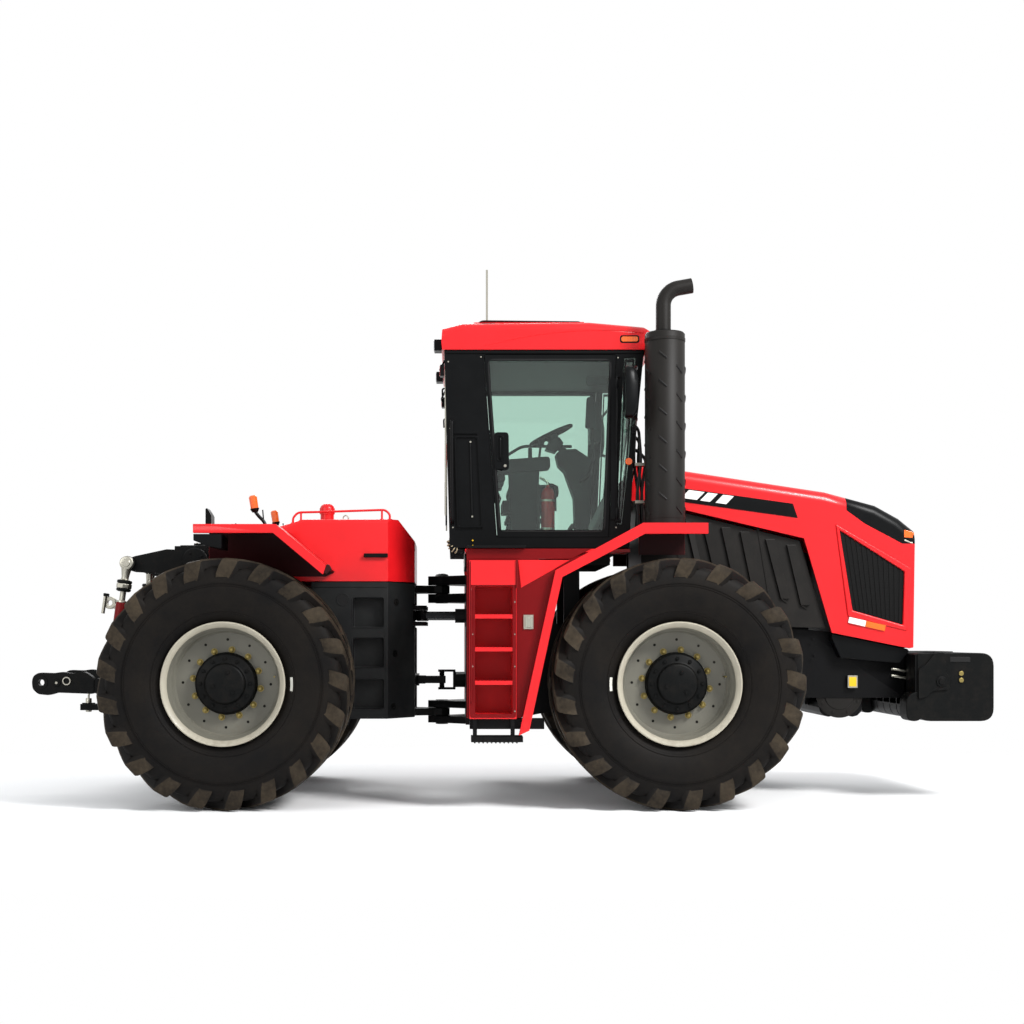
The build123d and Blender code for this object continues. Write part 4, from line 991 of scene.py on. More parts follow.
class TRACTOR_OT_roof(bpy.types.Operator):
    """Dress the roof: creases, lamps, rail, antenna foot and rear fittings."""
    bl_idname = "tractor.roof"
    bl_label = "Roof"

    def execute(self, context):
        out = 0.865
        bm = bmesh.new()
        upper = [Vector(p) for p in rounded_route([(x, 0.0, z) for x, z in ROOF_CREASE], 0.3, 6)]
        line = [(p[0], p[2]) for p in upper]
        band = line + [(x, z - 0.01) for x, z in reversed(line)]
        add_prism(bm, band, "Y", out - 0.004, out + 0.0035)
        # joint along the roof's foot
        add_prism(bm, mm("-498 3390, -500 3404, 1030 3404, 1028 3390"), "Y", out - 0.006, out + 0.002)
        finish_pair(bm, "roof_crease", "front", "red", bevel=0.002, segments=3)
        # amber marker
        bm = bmesh.new()
        add_prism(bm, rounded(mm("828 3437, 828 3495, 972 3495, 972 3437"), 0.02), "Y", out - 0.004,
            out + 0.002, 1)
        add_prism(bm, rounded(mm("838 3447, 838 3485, 962 3485, 962 3447"), 0.015), "Y", out, out + 0.006)
        finish_pair(bm, "roof_marker", "front", "amber satin", bevel=0.002)
        # rear lamps on brackets
        for label, side in SIDES:
            bm = bmesh.new()
            y = side * 0.71
            add_block(bm, (-0.561, -0.505), (y - 0.062, y + 0.062), (3.398, 3.482))
            add_block(bm, (-0.566, -0.56), (y - 0.052, y + 0.052), (3.408, 3.472), 1)
            add_tube(bm, [(-0.505, y, 3.44), (-0.47, y, 3.455)], 0.01, 8)
            y = side * 0.79
            add_block(bm, (-0.516, -0.486), (y - 0.05, y + 0.04), (3.196, 3.28))
            add_block(bm, (-0.52, -0.515), (y - 0.042, y + 0.032), (3.204, 3.272), 2)
            finish_piece(bm, f"rear_work_lamp_{label}", "front", "satin clear red_lens", bevel=0.004,
                replaces=["work_lamps"] if side < 0 else ())
        # rail with its brackets, and the antenna's foot
        bm = bmesh.new()
        y = -0.752
        add_tube(bm, [(-0.262, y, 3.562), (-0.212, y, 3.622), (0.545, y, 3.614), (0.576, y, 3.562)], 0.009,
            10, 0.03)
        add_block(bm, (-0.205, -0.1), (y - 0.02, y + 0.02), (3.56, 3.606))
        add_block(bm, (-0.34, -0.255), (y - 0.045, y + 0.045), (3.558, 3.572))
        finish_piece(bm, "roof_rail", "front", "dark_red", bevel=0.003)
        bm = bmesh.new()
        add_lathe(bm, mm("3590 30, 3606 28, 3640 12, 3660 8"), (-0.148, 0, 0), "Z", 20)
        finish_piece(bm, "antenna_foot", "front", "satin")
        # hatch and front work lamps
        bm = bmesh.new()
        hatch = rounded(mm("-100 -330, -100 330, 520 330, 520 -330"), 0.06)
        add_prism(bm, hatch, "Z", 3.592, 3.606)
        finish_piece(bm, "roof_hatch", "front", "red", bevel=0.005)
        bm = bmesh.new()
        for y in (-0.66, -0.44, 0.44, 0.66):
            add_prism(bm, rounded(((y - 0.075, 3.385), (y - 0.075, 3.48), (y + 0.075, 3.48),
                (y + 0.075, 3.385)), 0.02), "X", 1.04, 1.082)
            add_prism(bm, rounded(((y - 0.064, 3.396), (y - 0.064, 3.469), (y + 0.064, 3.469),
                (y + 0.064, 3.396)), 0.016), "X", 1.07, 1.084, 1)
        finish_piece(bm, "front_work_lamps", "front", "satin clear", bevel=0.003)
        return {"FINISHED"}


def inflate(piece, travel, pressure):
    """Blow a closed cushion up as cloth, limit how far it swells, and keep the mesh."""
    bpy.context.view_layer.objects.active = piece
    remesh = piece.modifiers.new("even mesh", "REMESH")
    remesh.mode, remesh.voxel_size = "VOXEL", 0.006
    bpy.ops.object.modifier_apply(modifier=remesh.name)
    start = [v.co.copy() for v in piece.data.vertices]
    cloth = piece.modifiers.new("cloth", "CLOTH")
    settings = cloth.settings
    settings.use_pressure, settings.uniform_pressure_force = True, pressure
    settings.effector_weights.gravity = 0.0
    settings.quality = 4
    scene = bpy.context.scene
    for step in range(1, 21):
        scene.frame_set(step)
    bpy.ops.object.modifier_apply(modifier=cloth.name)
    for vertex, rest in zip(piece.data.vertices, start):
        swell = vertex.co - rest
        if swell.length > travel:
            vertex.co = rest + swell.normalized() * travel
    scene.frame_set(1)
    smooth = piece.modifiers.new("smooth", "SMOOTH")
    smooth.factor, smooth.iterations = 0.5, 6
    bpy.ops.object.modifier_apply(modifier=smooth.name)
    piece.data.shade_smooth()


def add_pad(bm, low, high, lean):
    """A block that leans aft by lean for each metre up."""
    verts, _ = add_block(bm, *zip(low, high))
    for vertex in verts:
        vertex.co.x -= (vertex.co.z - low[2]) * lean


class TRACTOR_OT_seat(bpy.types.Operator):
    """Stuff the driver's seat and stand it on its suspension."""
    bl_idname = "tractor.seat"
    bl_label = "Seat"

    # pads: name, low corner, high corner, lean
    PADS = (("seat_cushion", (0.012, -0.235, 2.345), (0.415, 0.235, 2.432), 0.0),
        ("seat_back", (-0.085, -0.228, 2.455), (-0.012, 0.228, 2.78), 0.16),
        ("seat_headrest", (-0.15, -0.13, 2.8), (-0.085, 0.13, 2.885), 0.1))

    def execute(self, context):
        for name, low, high, lean in self.PADS:
            bm = bmesh.new()
            add_pad(bm, low, high, lean)
            piece = finish_piece(bm, name, "front", "cloth")
            inflate(piece, 0.012, 4.0)
        # shell, suspension box and bellows
        bm = bmesh.new()
        add_block(bm, (-0.04, 0.32), (-0.2, 0.2), (1.96, 2.02))
        for fold in range(5):
            grow_by = 0.014 if fold % 2 else 0.0
            z = 2.025 + fold * 0.04
            add_block(bm, (0.01 - grow_by, 0.27 + grow_by), (-0.16 - grow_by, 0.16 + grow_by), (z, z + 0.036))
        add_block(bm, (-0.03, 0.335), (-0.215, 0.215), (2.228, 2.318))
        add_prism(bm, mm("-35 2330, -105 2330, -180 2880, -150 2890, -95 2470"), "Y", -0.19, 0.19)
        for side in (-1, 1):
            add_prism(bm, rounded(mm("-60 2560, -60 2620, 260 2640, 262 2585"), 0.02), "Y", side * 0.242,
                side * 0.258)
        finish_piece(bm, "seat_frame", "front", "vinyl", bevel=0.008, replaces=["seat"])
        return {"FINISHED"}


class TRACTOR_OT_cab_inside(bpy.types.Operator):
    """Furnish the cab: steering, consoles, floor mat, headliner and extinguisher."""
    bl_idname = "tractor.cab_inside"
    bl_label = "Cab inside"

    def execute(self, context):
        hub = Vector((0.367, 0.0, 2.861))
        tilt = math.radians(24.8)
        normal = Vector((-math.sin(tilt), 0, math.cos(tilt)))
        # steering wheel: moulded rim, three spokes and a boss
        bm = bmesh.new()
        ahead = Vector((math.cos(tilt), 0, math.sin(tilt)))
        add_lathe(bm, ring_section(0.178, 0.013, 12), hub, normal, 48, closed=True)
        for turn in (math.radians(angle) for angle in (90, 210, 330)):
            reach = ahead * math.cos(turn) + Vector((0, 1, 0)) * math.sin(turn)
            add_tube(bm, [hub - normal * 0.012 + reach * 0.03, hub + reach * 0.174], 0.007, 10, flat=0.014)
        add_lathe(bm, mm("-50 40, -30 52, -4 54, 6 46, 10 20"), hub, normal, 32)
        finish_piece(bm, "steering_wheel", "front", "vinyl", angle=40)
        # column, instrument pod and pedestal
        bm = bmesh.new()
        foot = hub + Vector((0.16, 0, -0.2))
        add_tube(bm, [hub - normal * 0.03, foot], 0.03, 14)
        add_prism(bm, mm("345 2805, 318 2740, 400 2715, 462 2790, 430 2836"), "Y", -0.075, 0.075)
        add_prism(bm, mm("400 2700, 440 2735, 560 2740, 680 2660, 690 2400, 640 1960, 560 1960, 545 2350, "
            "470 2560, 420 2610"), "Y", -0.09, 0.09)
        # pedals
        for y in (-0.17, 0.16, 0.24):
            add_prism(bm, mm("480 2060, 500 2040, 560 2150, 542 2162"), "Y", y - 0.035, y + 0.035)
            add_tube(bm, [(0.53, y, 2.11), (0.64, y, 2.06)], 0.01, 8)
        # armrest console right of the seat, with its lever
        add_prism(bm, rounded(mm("-90 2500, -80 2610, 330 2640, 335 2540"), 0.03), "Y", -0.445, -0.33)
        add_prism(bm, mm("30 2040, 10 2510, 250 2530, 230 2040"), "Y", -0.43, -0.345)
        add_tube(bm, mm("250 -388 2630, 262 -388 2730"), 0.01, 8)
        add_lathe(bm, mm("0 12, 15 26, 50 26, 66 14"), (0.262, -0.388, 2.72), (0.1, 0, 1), 16)
        # bar and bracket beside the wheel
        add_tube(bm, mm("20 350 2735, 150 350 2815, 560 350 2812"), 0.013, 10, 0.05)
        add_block(bm, (0.2, 0.232), (0.34, 0.37), (1.96, 2.8))
        # monitor and its bracket at the front pillar
        add_prism(bm, rounded(mm("600 2850, 612 3090, 668 3090, 684 2850"), 0.02), "Y", -0.5, -0.46)
        add_prism(bm, rounded(mm("715 2860, 715 3190, 800 3190, 800 2860"), 0.02), "Y", 0.4, 0.62)
        add_tube(bm, mm("650 -480 2860, 665 -480 2620, 640 -300 2500, 600 -80 2480"), 0.013, 8, 0.05)
        # sun visor
        add_prism(bm, rounded(mm("585 3130, 580 3205, 790 3200, 795 3150"), 0.03), "Y", -0.78, -0.752)
        finish_piece(bm, "steering_column", "front", "vinyl", bevel=0.006, replaces=["steering_console"])
        # headliner, floor mat, rear shelf and wheel-house covers
        bm = bmesh.new()
        add_block(bm, (-0.39, 0.925), (-0.795, 0.795), (3.33, 3.342))
        add_block(bm, (-0.394, 0.85), (-0.795, 0.795), (1.958, 1.97))
        add_block(bm, (-0.392, -0.23), (-0.79, 0.79), (1.972, 2.28))
        add_prism(bm, mm("640 1972, 700 2120, 850 2420, 860 2420, 860 1972"), "Y", -0.78, 0.78)
        for side in (-1, 1):
            add_block(bm, (-0.1, 0.7), (side * 0.79, side * 0.76), (3.305, 3.335))
        finish_piece(bm, "cab_lining", "front", "vinyl", bevel=0.008)
        # fire extinguisher by the right door, in its two straps
        bm = bmesh.new()
        spot = Vector((0.302, -0.64, 0))
        add_lathe(bm, mm("1985 40, 1992 52, 2330 52, 2365 40, 2380 18, 2395 16"), spot, "Z", 32)
        for z in (2.055, 2.27):
            add_lathe(bm, [(z, 0.052), (z, 0.054), (z + 0.016, 0.054), (z + 0.016, 0.052)], spot, "Z", 32, 1,
                closed=True)
        add_tube(bm, [spot + Vector((0.0, 0, 2.395)), spot + Vector((0.0, 0, 2.42)),
            spot + Vector((-0.06, 0, 2.455))], 0.01, 8, 0.01, 1)
        add_tube(bm, [spot + Vector((0.0, 0, 2.405)), spot + Vector((0.055, 0, 2.4)),
            spot + Vector((0.06, 0, 2.2))], 0.008, 8, 0.03, 2)
        add_block(bm, (0.225, 0.24), (-0.66, -0.62), (1.972, 2.4), 2)
        finish_piece(bm, "extinguisher", "front", "copper_red zinc vinyl", angle=40)
        return {"FINISHED"}


class TRACTOR_OT_cab_fittings(bpy.types.Operator):
    """Add wipers, hoses, grab rails and rear fittings round the cab."""
    bl_idname = "tractor.cab_fittings"
    bl_label = "Cab fittings"

    def execute(self, context):
        # windscreen wiper: arm, blade and pivot
        bm = bmesh.new()
        add_tube(bm, mm("1010 100 3300, 994 30 3100, 977 -20 2880"), 0.007, 8, 0.02)
        add_tube(bm, mm("960 25 2625, 1012 -80 3240"), 0.006, 6, flat=0.012)
        add_lathe(bm, mm("-20 24, 20 20, 30 12"), (1.003, 0.1, 3.3), (1, 0, 0), 16)
        # rear bracket, reflector strip and wiper at the rear window
        for side in (-1, 1):
            add_tube(bm, [(-0.47, side * 0.7, 3.36), (-0.52, side * 0.72, 3.26), (-0.5, side * 0.78, 3.23)],
                0.008, 8, 0.02)
            add_tube(bm, [(-0.478, side * 0.8, 3.11), (-0.5, side * 0.81, 3.1), (-0.498, side * 0.81, 3.03)],
                0.007, 8, 0.02)
            add_block(bm, (-0.484, -0.47), (side * 0.6, side * 0.66), (2.18, 2.42))
        finish_piece(bm, "wipers", "front", "satin")
        bm = bmesh.new()
        for side in (-1, 1):
            for z, height, material in ((2.88, 0.085, 0), (2.7, 0.17, 1)):
                add_block(bm, (-0.482, -0.472), (side * 0.7, side * 0.8), (z, z + height), material)
            add_block(bm, (-0.482, -0.47), (side * 0.83, side * 0.846), (2.15, 3.34), 2)
        finish_piece(bm, "rear_reflectors", "front", "white red_lens zinc", bevel=0.002)
        # bundle of hoses and pipes between the cab and the stack
        bm = bmesh.new()
        hoses = ((0.955, -0.8, 2.92), (0.972, -0.84, 2.8), (0.99, -0.76, 2.72), (1.008, -0.82, 2.6))
        for k, (x, y, top) in enumerate(hoses):
            sway = 0.018 * (-1) ** k
            add_tube(bm, [(x, y, 2.04), (x + sway, y - 0.01, 2.3), (x - sway, y, 2.56), (x, y + 0.02, top),
                (x - 0.05, y + 0.06, top + 0.05)], 0.012, 10, 0.08)
        for z in (2.24, 2.52):
            add_block(bm, (0.94, 1.022), (-0.745, -0.865), (z, z + 0.022), 1)
        add_disc(bm, (0.893, -0.862, 2.552), (0, -1, 0), 0.026, 0.01, 24, 2, 0.003)
        finish_piece(bm, "cab_hoses", "front", "hose zinc amber")
        # grab rails at both door openings
        bm = bmesh.new()
        for side in (-1, 1):
            out = side * 0.862
            add_tube(bm, [(-0.43, out - side * 0.01, 2.86), (-0.43, out + side * 0.045, 2.85),
                (-0.424, out + side * 0.045, 2.1), (-0.424, out - side * 0.01, 2.09)], 0.013, 12, 0.03)
        finish_piece(bm, "grab_rails", "front", "black")
        return {"FINISHED"}


# ---------------------------------------------------------------------------
# Stack, mirrors, fenders, ladders and weights
# ---------------------------------------------------------------------------
STACK_SIDES = 40


def add_shield(bm, centre, radius, low, high, slit_pitch):
    """A rolled heat shield with rows of short slanted slits pressed in."""
    add_lathe(bm, [(low, radius - 0.004), (low + 0.004, radius), (high - 0.012, radius),
        (high, radius - 0.01), (high, 0.052)], centre, "Z", STACK_SIDES)
    columns = 7
    for column in range(columns):
        turn = math.tau * column / columns
        phase = slit_pitch / 2 if column % 2 else 0.0
        count = int((high - low - 0.2) / slit_pitch) + 1
        for row in range(count):
            z = low + 0.1 + phase + row * slit_pitch
            if z > high - 0.08:
                continue
            # each slit is a short raised louvre lip over a black strip: painted shade where the slit opens
            for lift, material, wide in ((0.0015, 1, 0.006), (0.0035, 0, 0.0025)):
                spots = []
                for step in range(5):
                    share = step / 4 - 0.5
                    angle = turn + share * 0.38
                    spots.append(Vector((centre[0] + (radius + lift * 0.4) * math.cos(angle),
                        centre[1] + (radius + lift * 0.4) * math.sin(angle),
                        z - share * 0.05 + (0.008 if material == 0 else 0))))
                add_tube(bm, spots, wide, 6, 0.0, material)


class TRACTOR_OT_exhaust(bpy.types.Operator):
    """Roll the exhaust's slotted shields and bend its tail pipe."""
    bl_idname = "tractor.exhaust"
    bl_label = "Exhaust"

    def execute(self, context):
        low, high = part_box("exhaust_stack")
        centre = Vector((1.132, (low.y + high.y) / 2, 0))
        radius = 0.146
        bm = bmesh.new()
        add_shield(bm, (centre.x, centre.y, 0), radius, low.z + 0.002, 3.466, 0.205)
        # strap bands where the shield halves meet
        for z in (low.z + 0.05, 3.4):
            add_lathe(bm, [(z, radius), (z, radius + 0.003), (z + 0.022, radius + 0.003),
                (z + 0.022, radius)], (centre.x, centre.y, 0), "Z", STACK_SIDES, closed=True)
        finish_piece(bm, "heat_shield", "front", "stack hose", angle=40)
        # tail pipe with a smooth elbow and a slanted mouth
        bm = bmesh.new()
        x, bend, start = centre.x - 0.011, 0.13, 3.668
        route = [Vector((x, centre.y, 3.44)), Vector((x, centre.y, start))]
        turn_end = math.radians(80)
        for step in range(1, 13):
            turn = turn_end * step / 12
            route.append(Vector((x + bend - bend * math.cos(turn), centre.y, start + bend * math.sin(turn))))
        tip = route[-1] + Vector((math.sin(turn_end), 0, math.cos(turn_end))) * (high.x - route[-1].x - 0.012)
        route.append(tip)
        add_tube(bm, route, 0.055, 28)
        finish_piece(bm, "tail_pipe", "front", "stack hose", replaces=["exhaust_stack"], angle=40)
        bm = bmesh.new()
        add_lathe(bm, mm("3462 58, 3464 64, 3486 64, 3488 58"), (x, centre.y, 0), "Z", 32, closed=True)
        # black disc on the closed mouth: painted shade of the pipe's bore, which is sooty too
        add_disc(bm, route[-1] + Vector((0.0005, 0, 0)), (math.sin(turn_end), 0, math.cos(turn_end)), 0.049,
            0.0008, 28, 1)
        finish_piece(bm, "pipe_clamp", "front", "black hose")
        return {"FINISHED"}


class TRACTOR_OT_mirrors(bpy.types.Operator):
    """Hang the two rear-view mirrors on their arms."""
    bl_idname = "tractor.mirrors"
    bl_label = "Mirrors"

    def execute(self, context):
        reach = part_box("mirrors")[1].y
        x, z = 0.866, 3.006
        bm = bmesh.new()
        # an oval housing: rounded box with its glass facing aft
        steps = 40
        rows = ((-0.052, 0.8), (-0.046, 0.96), (-0.03, 1.0), (0.01, 0.97), (0.038, 0.8), (0.05, 0.45))
        outline = []
        for step in range(steps):
            turn = math.tau * step / steps
            c, s = math.cos(turn), math.sin(turn)
            outline.append((math.copysign(abs(c) ** 0.62, c) * 0.088,
                math.copysign(abs(s) ** 0.72, s) * 0.19))
        y_mid = reach - 0.092
        rings = []
        for along, share in rows:
            rings.append([bm.verts.new((x + along, y_mid + a * share, z + b * share)) for a, b in outline])
        for first, second in zip(rings, rings[1:]):
            for k in range(steps):
                bm.faces.new([first[k], first[(k + 1) % steps], second[(k + 1) % steps], second[k]])
        bm.faces.new(rings[0])
        bm.faces.new(rings[-1][::-1])
        glass = [bm.verts.new((x - 0.0535, y_mid + a * 0.76, z + b * 0.76)) for a, b in outline]
        face = bm.faces.new(glass)
        face.material_index = 1
        # arms from the cab's front pillar
        root = 0.86
        for lift in (0.165, -0.15):
            add_tube(bm, [(0.93, root, z + lift * 1.25), (0.915, y_mid - 0.09, z + lift * 1.2),
                (0.88, y_mid, z + lift)], 0.012, 10, 0.06)
        add_tube(bm, [(0.93, root, z - 0.24), (0.93, root, z + 0.26)], 0.013, 10)
        finish_pair(bm, "mirror", "front", "satin mirror", once=["mirrors"], angle=40)
        return {"FINISHED"}


# outer lip of the front fender: x, z along its upper edge, then its lower one
LIP_TOP = mm("50 538, 312 1717, 937 2055, 1400 2055")
LIP_LOW = mm("125 573, 360 1668, 952 1978, 1400 1978")


class TRACTOR_OT_front_fenders(bpy.types.Operator):
    """Roll the lips of the front fenders and bolt their ends."""
    bl_idname = "tractor.front_fenders"
    bl_label = "Front fenders"

    def execute(self, context):
        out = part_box("front_fenders")[1].y
        bm = bmesh.new()
        strip = LIP_TOP + LIP_LOW[::-1]
        add_prism(bm, strip, "Y", out - 0.012, out - 0.0005)
        finish_pair(bm, "fender_lip", "front", "red", bevel=0.005, segments=3)
        # bolts at the lip's end, and round pressings down its front
        bm = bmesh.new()
        add_hexes(bm, [(x, out - 0.001, 2.016) for x in (1.345, 1.385)], (0, 1, 0), 0.01, 0.0008)
        for x, z in ((0.135, 0.7), (0.195, 0.98), (0.258, 1.26), (0.32, 1.54)):
            add_disc(bm, (x - 0.01, out - 0.0012, z), (0, 1, 0), 0.011, 0.001, 14)
        finish_pair(bm, "fender_bolts", "front", "red")
        return {"FINISHED"}


# recess of the ladder panel: x of its two edges
WELL = (-0.263, 0.007)
TREAD_TOPS = (1.402, 1.167, 0.928)


class TRACTOR_OT_ladders(bpy.types.Operator):
    """Set the ladders' grips, grab bars, beams and lamps."""
    bl_idname = "tractor.ladders"
    bl_label = "Ladders"

    def execute(self, context):
        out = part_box("ladders")[1].y
        bm = bmesh.new()
        # toothed strips on the treads (the hung step's come with its beam), in darker red: painted shade
        for z in TREAD_TOPS:
            for tooth in range(9):
                x = WELL[0] + 0.022 + tooth * 0.0275
                add_block(bm, (x, x + 0.008), (out - 0.026, out - 0.15), (z - 0.001, z + 0.006))
        # rolled edge round the well and the box above it, in darker red: painted shade
        rim = ((WELL[0] - 0.036, 0.664), (WELL[0] - 0.036, 1.786), (0.031, 1.786), (0.031, 0.664))
        hole = ((WELL[0] + 0.001, 0.691), (WELL[0] + 0.001, 1.603), (WELL[1] - 0.001, 1.603),
            (WELL[1] - 0.001, 0.691))
        add_skewed_frame(bm, rounded(rim, 0.02), rounded(hole, 0.012), out - 0.03, out - 0.016)
        # box face and wing in full red, the wing's slanted edge following a patch of painted light; the strip
        # above them and the seam down the fender's lip in darker red: painted shade
        add_block(bm, (-0.292, 0.03), (1.33, 1.386), (1.612, 1.786), 1)
        add_prism(bm, mm("46 1792, 418 1792, 300 1722, 67 1592"), "Y", 1.32, 1.338, 1)
        add_prism(bm, mm("-322 1800, 430 1800, 575 1874, -322 1874"), "Y", 1.31, 1.336)
        add_prism(bm, mm("300 1716, 330 1725, 560 1850, 418 1800"), "Y", 1.3, 1.333)
        add_prism(bm, mm("45 660, 75 660, 335 1717, 290 1730"), "Y", 1.322, 1.335)
        finish_pair(bm, "ladder_rim", "front", "side_red red", bevel=0.003)
        bm = bmesh.new()
        add_block(bm, (-0.3, 0.235), (1.21, 1.335), (0.58, 0.654))
        for tooth in range(11):
            x = -0.27 + tooth * 0.03
            add_block(bm, (x, x + 0.012), (out - 0.19, out - 0.004), (0.482, 0.49))
        finish_pair(bm, "step_beam", "front", "black", bevel=0.003)
        # grab bars and bolts
        bm = bmesh.new()
        add_tube(bm, [(0.036, out - 0.006, 1.79), (0.036, out - 0.006, 1.59)], 0.006, 8)
        add_tube(bm, [(-0.29, out - 0.03, 1.6), (-0.29, out - 0.008, 1.58), (-0.29, out - 0.008, 0.78),
            (-0.29, out - 0.03, 0.76)], 0.007, 8, 0.02)
        screws = mm("22 1490, 22 1260, 22 1030, 22 710, -280 1260, -280 1030")
        spots = [(x, out - 0.017, z) for x, z in screws]
        add_hexes(bm, spots, (0, 1, 0), 0.009, 0.005, 1)
        finish_pair(bm, "ladder_bars", "front", "side_red zinc")
        # marker lamp in its frame
        bm = bmesh.new()
        lamp = Vector((0.121, 0, 1.348))
        add_block(bm, (lamp.x - 0.037, lamp.x + 0.037), (1.33, 1.346), (lamp.z - 0.052, lamp.z + 0.052))
        add_block(bm, (lamp.x - 0.026, lamp.x + 0.026), (1.34, 1.35), (lamp.z - 0.04, lamp.z + 0.04), 1)
        finish_pair(bm, "ladder_lamp", "front", "zinc smoked", bevel=0.005, segments=3, slot="amber_lens")
        return {"FINISHED"}


class TRACTOR_OT_nose_frame(bpy.types.Operator):
    """Fit the front frame's bolts, marker lamps and the covers of the air tanks."""
    bl_idname = "tractor.nose_frame"
    bl_label = "Nose frame"

    def execute(self, context):
        bm = bmesh.new()
        out = 0.47
        add_hexes(bm, [(x, out, z) for x, z in ((2.362, 1.22), (2.37, 1.095))], (0, 1, 0), 0.016, 0.01)
        # amber marker lamp in a bright frame
        x, z = 2.668, 0.895
        add_block(bm, (x - 0.038, x + 0.038), (out, out - 0.03), (z - 0.047, z + 0.047), 1)
        add_block(bm, (x - 0.028, x + 0.028), (out, out + 0.004), (z - 0.036, z + 0.036), 2)
        # dusty round cover over the tanks' ends, bolted from outside
        cover = Vector((2.579, 0.402, 0.793))
        add_lathe(bm, mm("0 180, 10 180, 14 172, 14 120, 20 112, 20 0"), cover, (0, 1, 0), 48, 3)
        add_hexes(bm, around(cover, 0.148, 8, 0.35, cover.y + 0.014), (0, 1, 0), 0.014, 0.008, 3)
        finish_pair(bm, "rail_trim", "front", "black zinc yellow stack", bevel=0.003)
        return {"FINISHED"}


# suitcase weights: how far each reaches from the middle, and the side view of one
WEIGHT_COUNT = 8
WEIGHT_LINE = mm("3085 605, 3085 1120, 3663 1120, 3663 605")
TOE_LINE = mm("3004 605, 3004 800, 3120 840, 3120 605")
HOOK_LINE = mm("3090 1000, 3138 1028, 3215 1120, 3290 1122, 3300 960, 3322 955, 3322 845, 3200 835, "
    "3150 790, 3090 770")


class TRACTOR_OT_weights(bpy.types.Operator):
    """Cast the suitcase weights and pin them to their bracket."""
    bl_idname = "tractor.weights"
    bl_label = "Front weights"

    def execute(self, context):
        low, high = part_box("front_weights")
        pitch = (high.y - low.y) / WEIGHT_COUNT
        bm = bmesh.new()
        for k in range(WEIGHT_COUNT):
            near, far = low.y + k * pitch + 0.0035, low.y + (k + 1) * pitch - 0.0035
            add_prism(bm, rounded(WEIGHT_LINE, 0.1), "Y", near, far)
        # square shoulder at the carrier, and the two end castings' toes under the frame
        add_prism(bm, rounded(mm("3085 700, 3085 1120, 3350 1120, 3350 700"), 0.015), "Y", low.y + 0.004,
            high.y - 0.004)
        for side in (-1, 1):
            add_prism(bm, rounded(TOE_LINE, 0.055), "Y", side * (high.y - 0.004), side * (high.y - pitch))
        finish_piece(bm, "suitcase_weights", "front", "cast", bevel=0.006, segments=3,
            replaces=["front_weights"])
        # low carrier beam with a cheek inside each end casting
        bm = bmesh.new()
        add_block(bm, (3.08, 3.5), (-0.3, 0.3), (1.116, 1.128))
        for side in (-1, 1):
            add_block(bm, (3.07, 3.2), (side * 0.5, side * 0.735), (0.802, 1.112))
        finish_piece(bm, "carrier_beam", "front", "black", bevel=0.006, replaces=["weight_carrier"])
        out = high.y
        bm = bmesh.new()
        add_prism(bm, rounded(HOOK_LINE, 0.02), "Y", out - 0.006, out + 0.014)
        add_lathe(bm, mm("0 40, 10 40, 12 34, 12 24, 20 22, 20 0"), (3.262, out + 0.012, 0.904), (0, 1, 0),
            28)
        add_block(bm, (3.33, 3.484), (out - 0.004, out + 0.001), (1.052, 1.09), 2)
        for z in (0.966, 0.916):
            add_disc(bm, (3.415, out - 0.002, z), (0, 1, 0), 0.019, 0.01, 20, 3, 0.003)
        finish_pair(bm, "weight_hook", "front", "cast zinc hose olive_zinc", bevel=0.002)
        bm = bmesh.new()
        for drop in (0.0, 0.052):
            add_tube(bm, [(2.975, 0.44, 0.995 - drop), (3.095, 0.44, 0.975 - drop)], 0.011, 12)
        finish_pair(bm, "weight_pins", "front", "zinc")
        return {"FINISHED"}


# ---------------------------------------------------------------------------
# Rear half: units, tank, fenders, lamps, linkage and the hinge between the halves
# ---------------------------------------------------------------------------
class TRACTOR_OT_side_units(bpy.types.Operator):
    """Fit the side units' top rails, bolts and wiring hole."""
    bl_idname = "tractor.side_units"
    bl_label = "Side units"

    def execute(self, context):
        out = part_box("side_units")[1].y
        bm = bmesh.new()
        add_block(bm, (-1.498, -0.916), (out - 0.002, out + 0.005), (1.619, 1.659))
        add_lathe(bm, mm("-3 50, 4 50, 4 41, -3 41"), (-1.259, out, 1.525), (0, 1, 0), 32, closed=True)
        for low in (1.315, 1.009, 0.696):
            # moulded lip round each pocket
            hole = ((-1.18, low), (-1.18, low + 0.224), (-0.949, low + 0.224), (-0.949, low))
            add_skewed_frame(bm, rounded(grow(hole, 0.01), 0.02), rounded(grow(hole, -0.002), 0.02),
                out - 0.004, out + 0.003)
        finish_pair(bm, "unit_rail", "rear", "moulded", bevel=0.002)
        bm = bmesh.new()
        add_disc(bm, (-1.259, out, 1.525), (0, 1, 0), 0.041, 0.0012, 32, 1)
        normal = Vector((0.797, 0.604, 0))
        for x, z in ((-0.855, 1.508), (-0.865, 1.113), (-0.875, 0.71)):
            spot = Vector((x, 0.64 - (x + 0.915) * 1.32, z))
            add_lathe(bm, mm("0 27, 4 27, 5 20"), spot, normal, 24)
            add_hexes(bm, [spot + normal * 0.004], normal, 0.015, 0.01)
        finish_pair(bm, "unit_bolts", "rear", "cast hose")
        return {"FINISHED"}


# the tank reaches back between the fenders, and its top falls away there
TANK_CUT = -1.2
TANK_MOVES = ((TANK_CUT, 0.0, -0.36, 0.0), (-1.5, 2.1, -0.36, -0.089), (-1.5, 0.0, -0.36, 0.0))


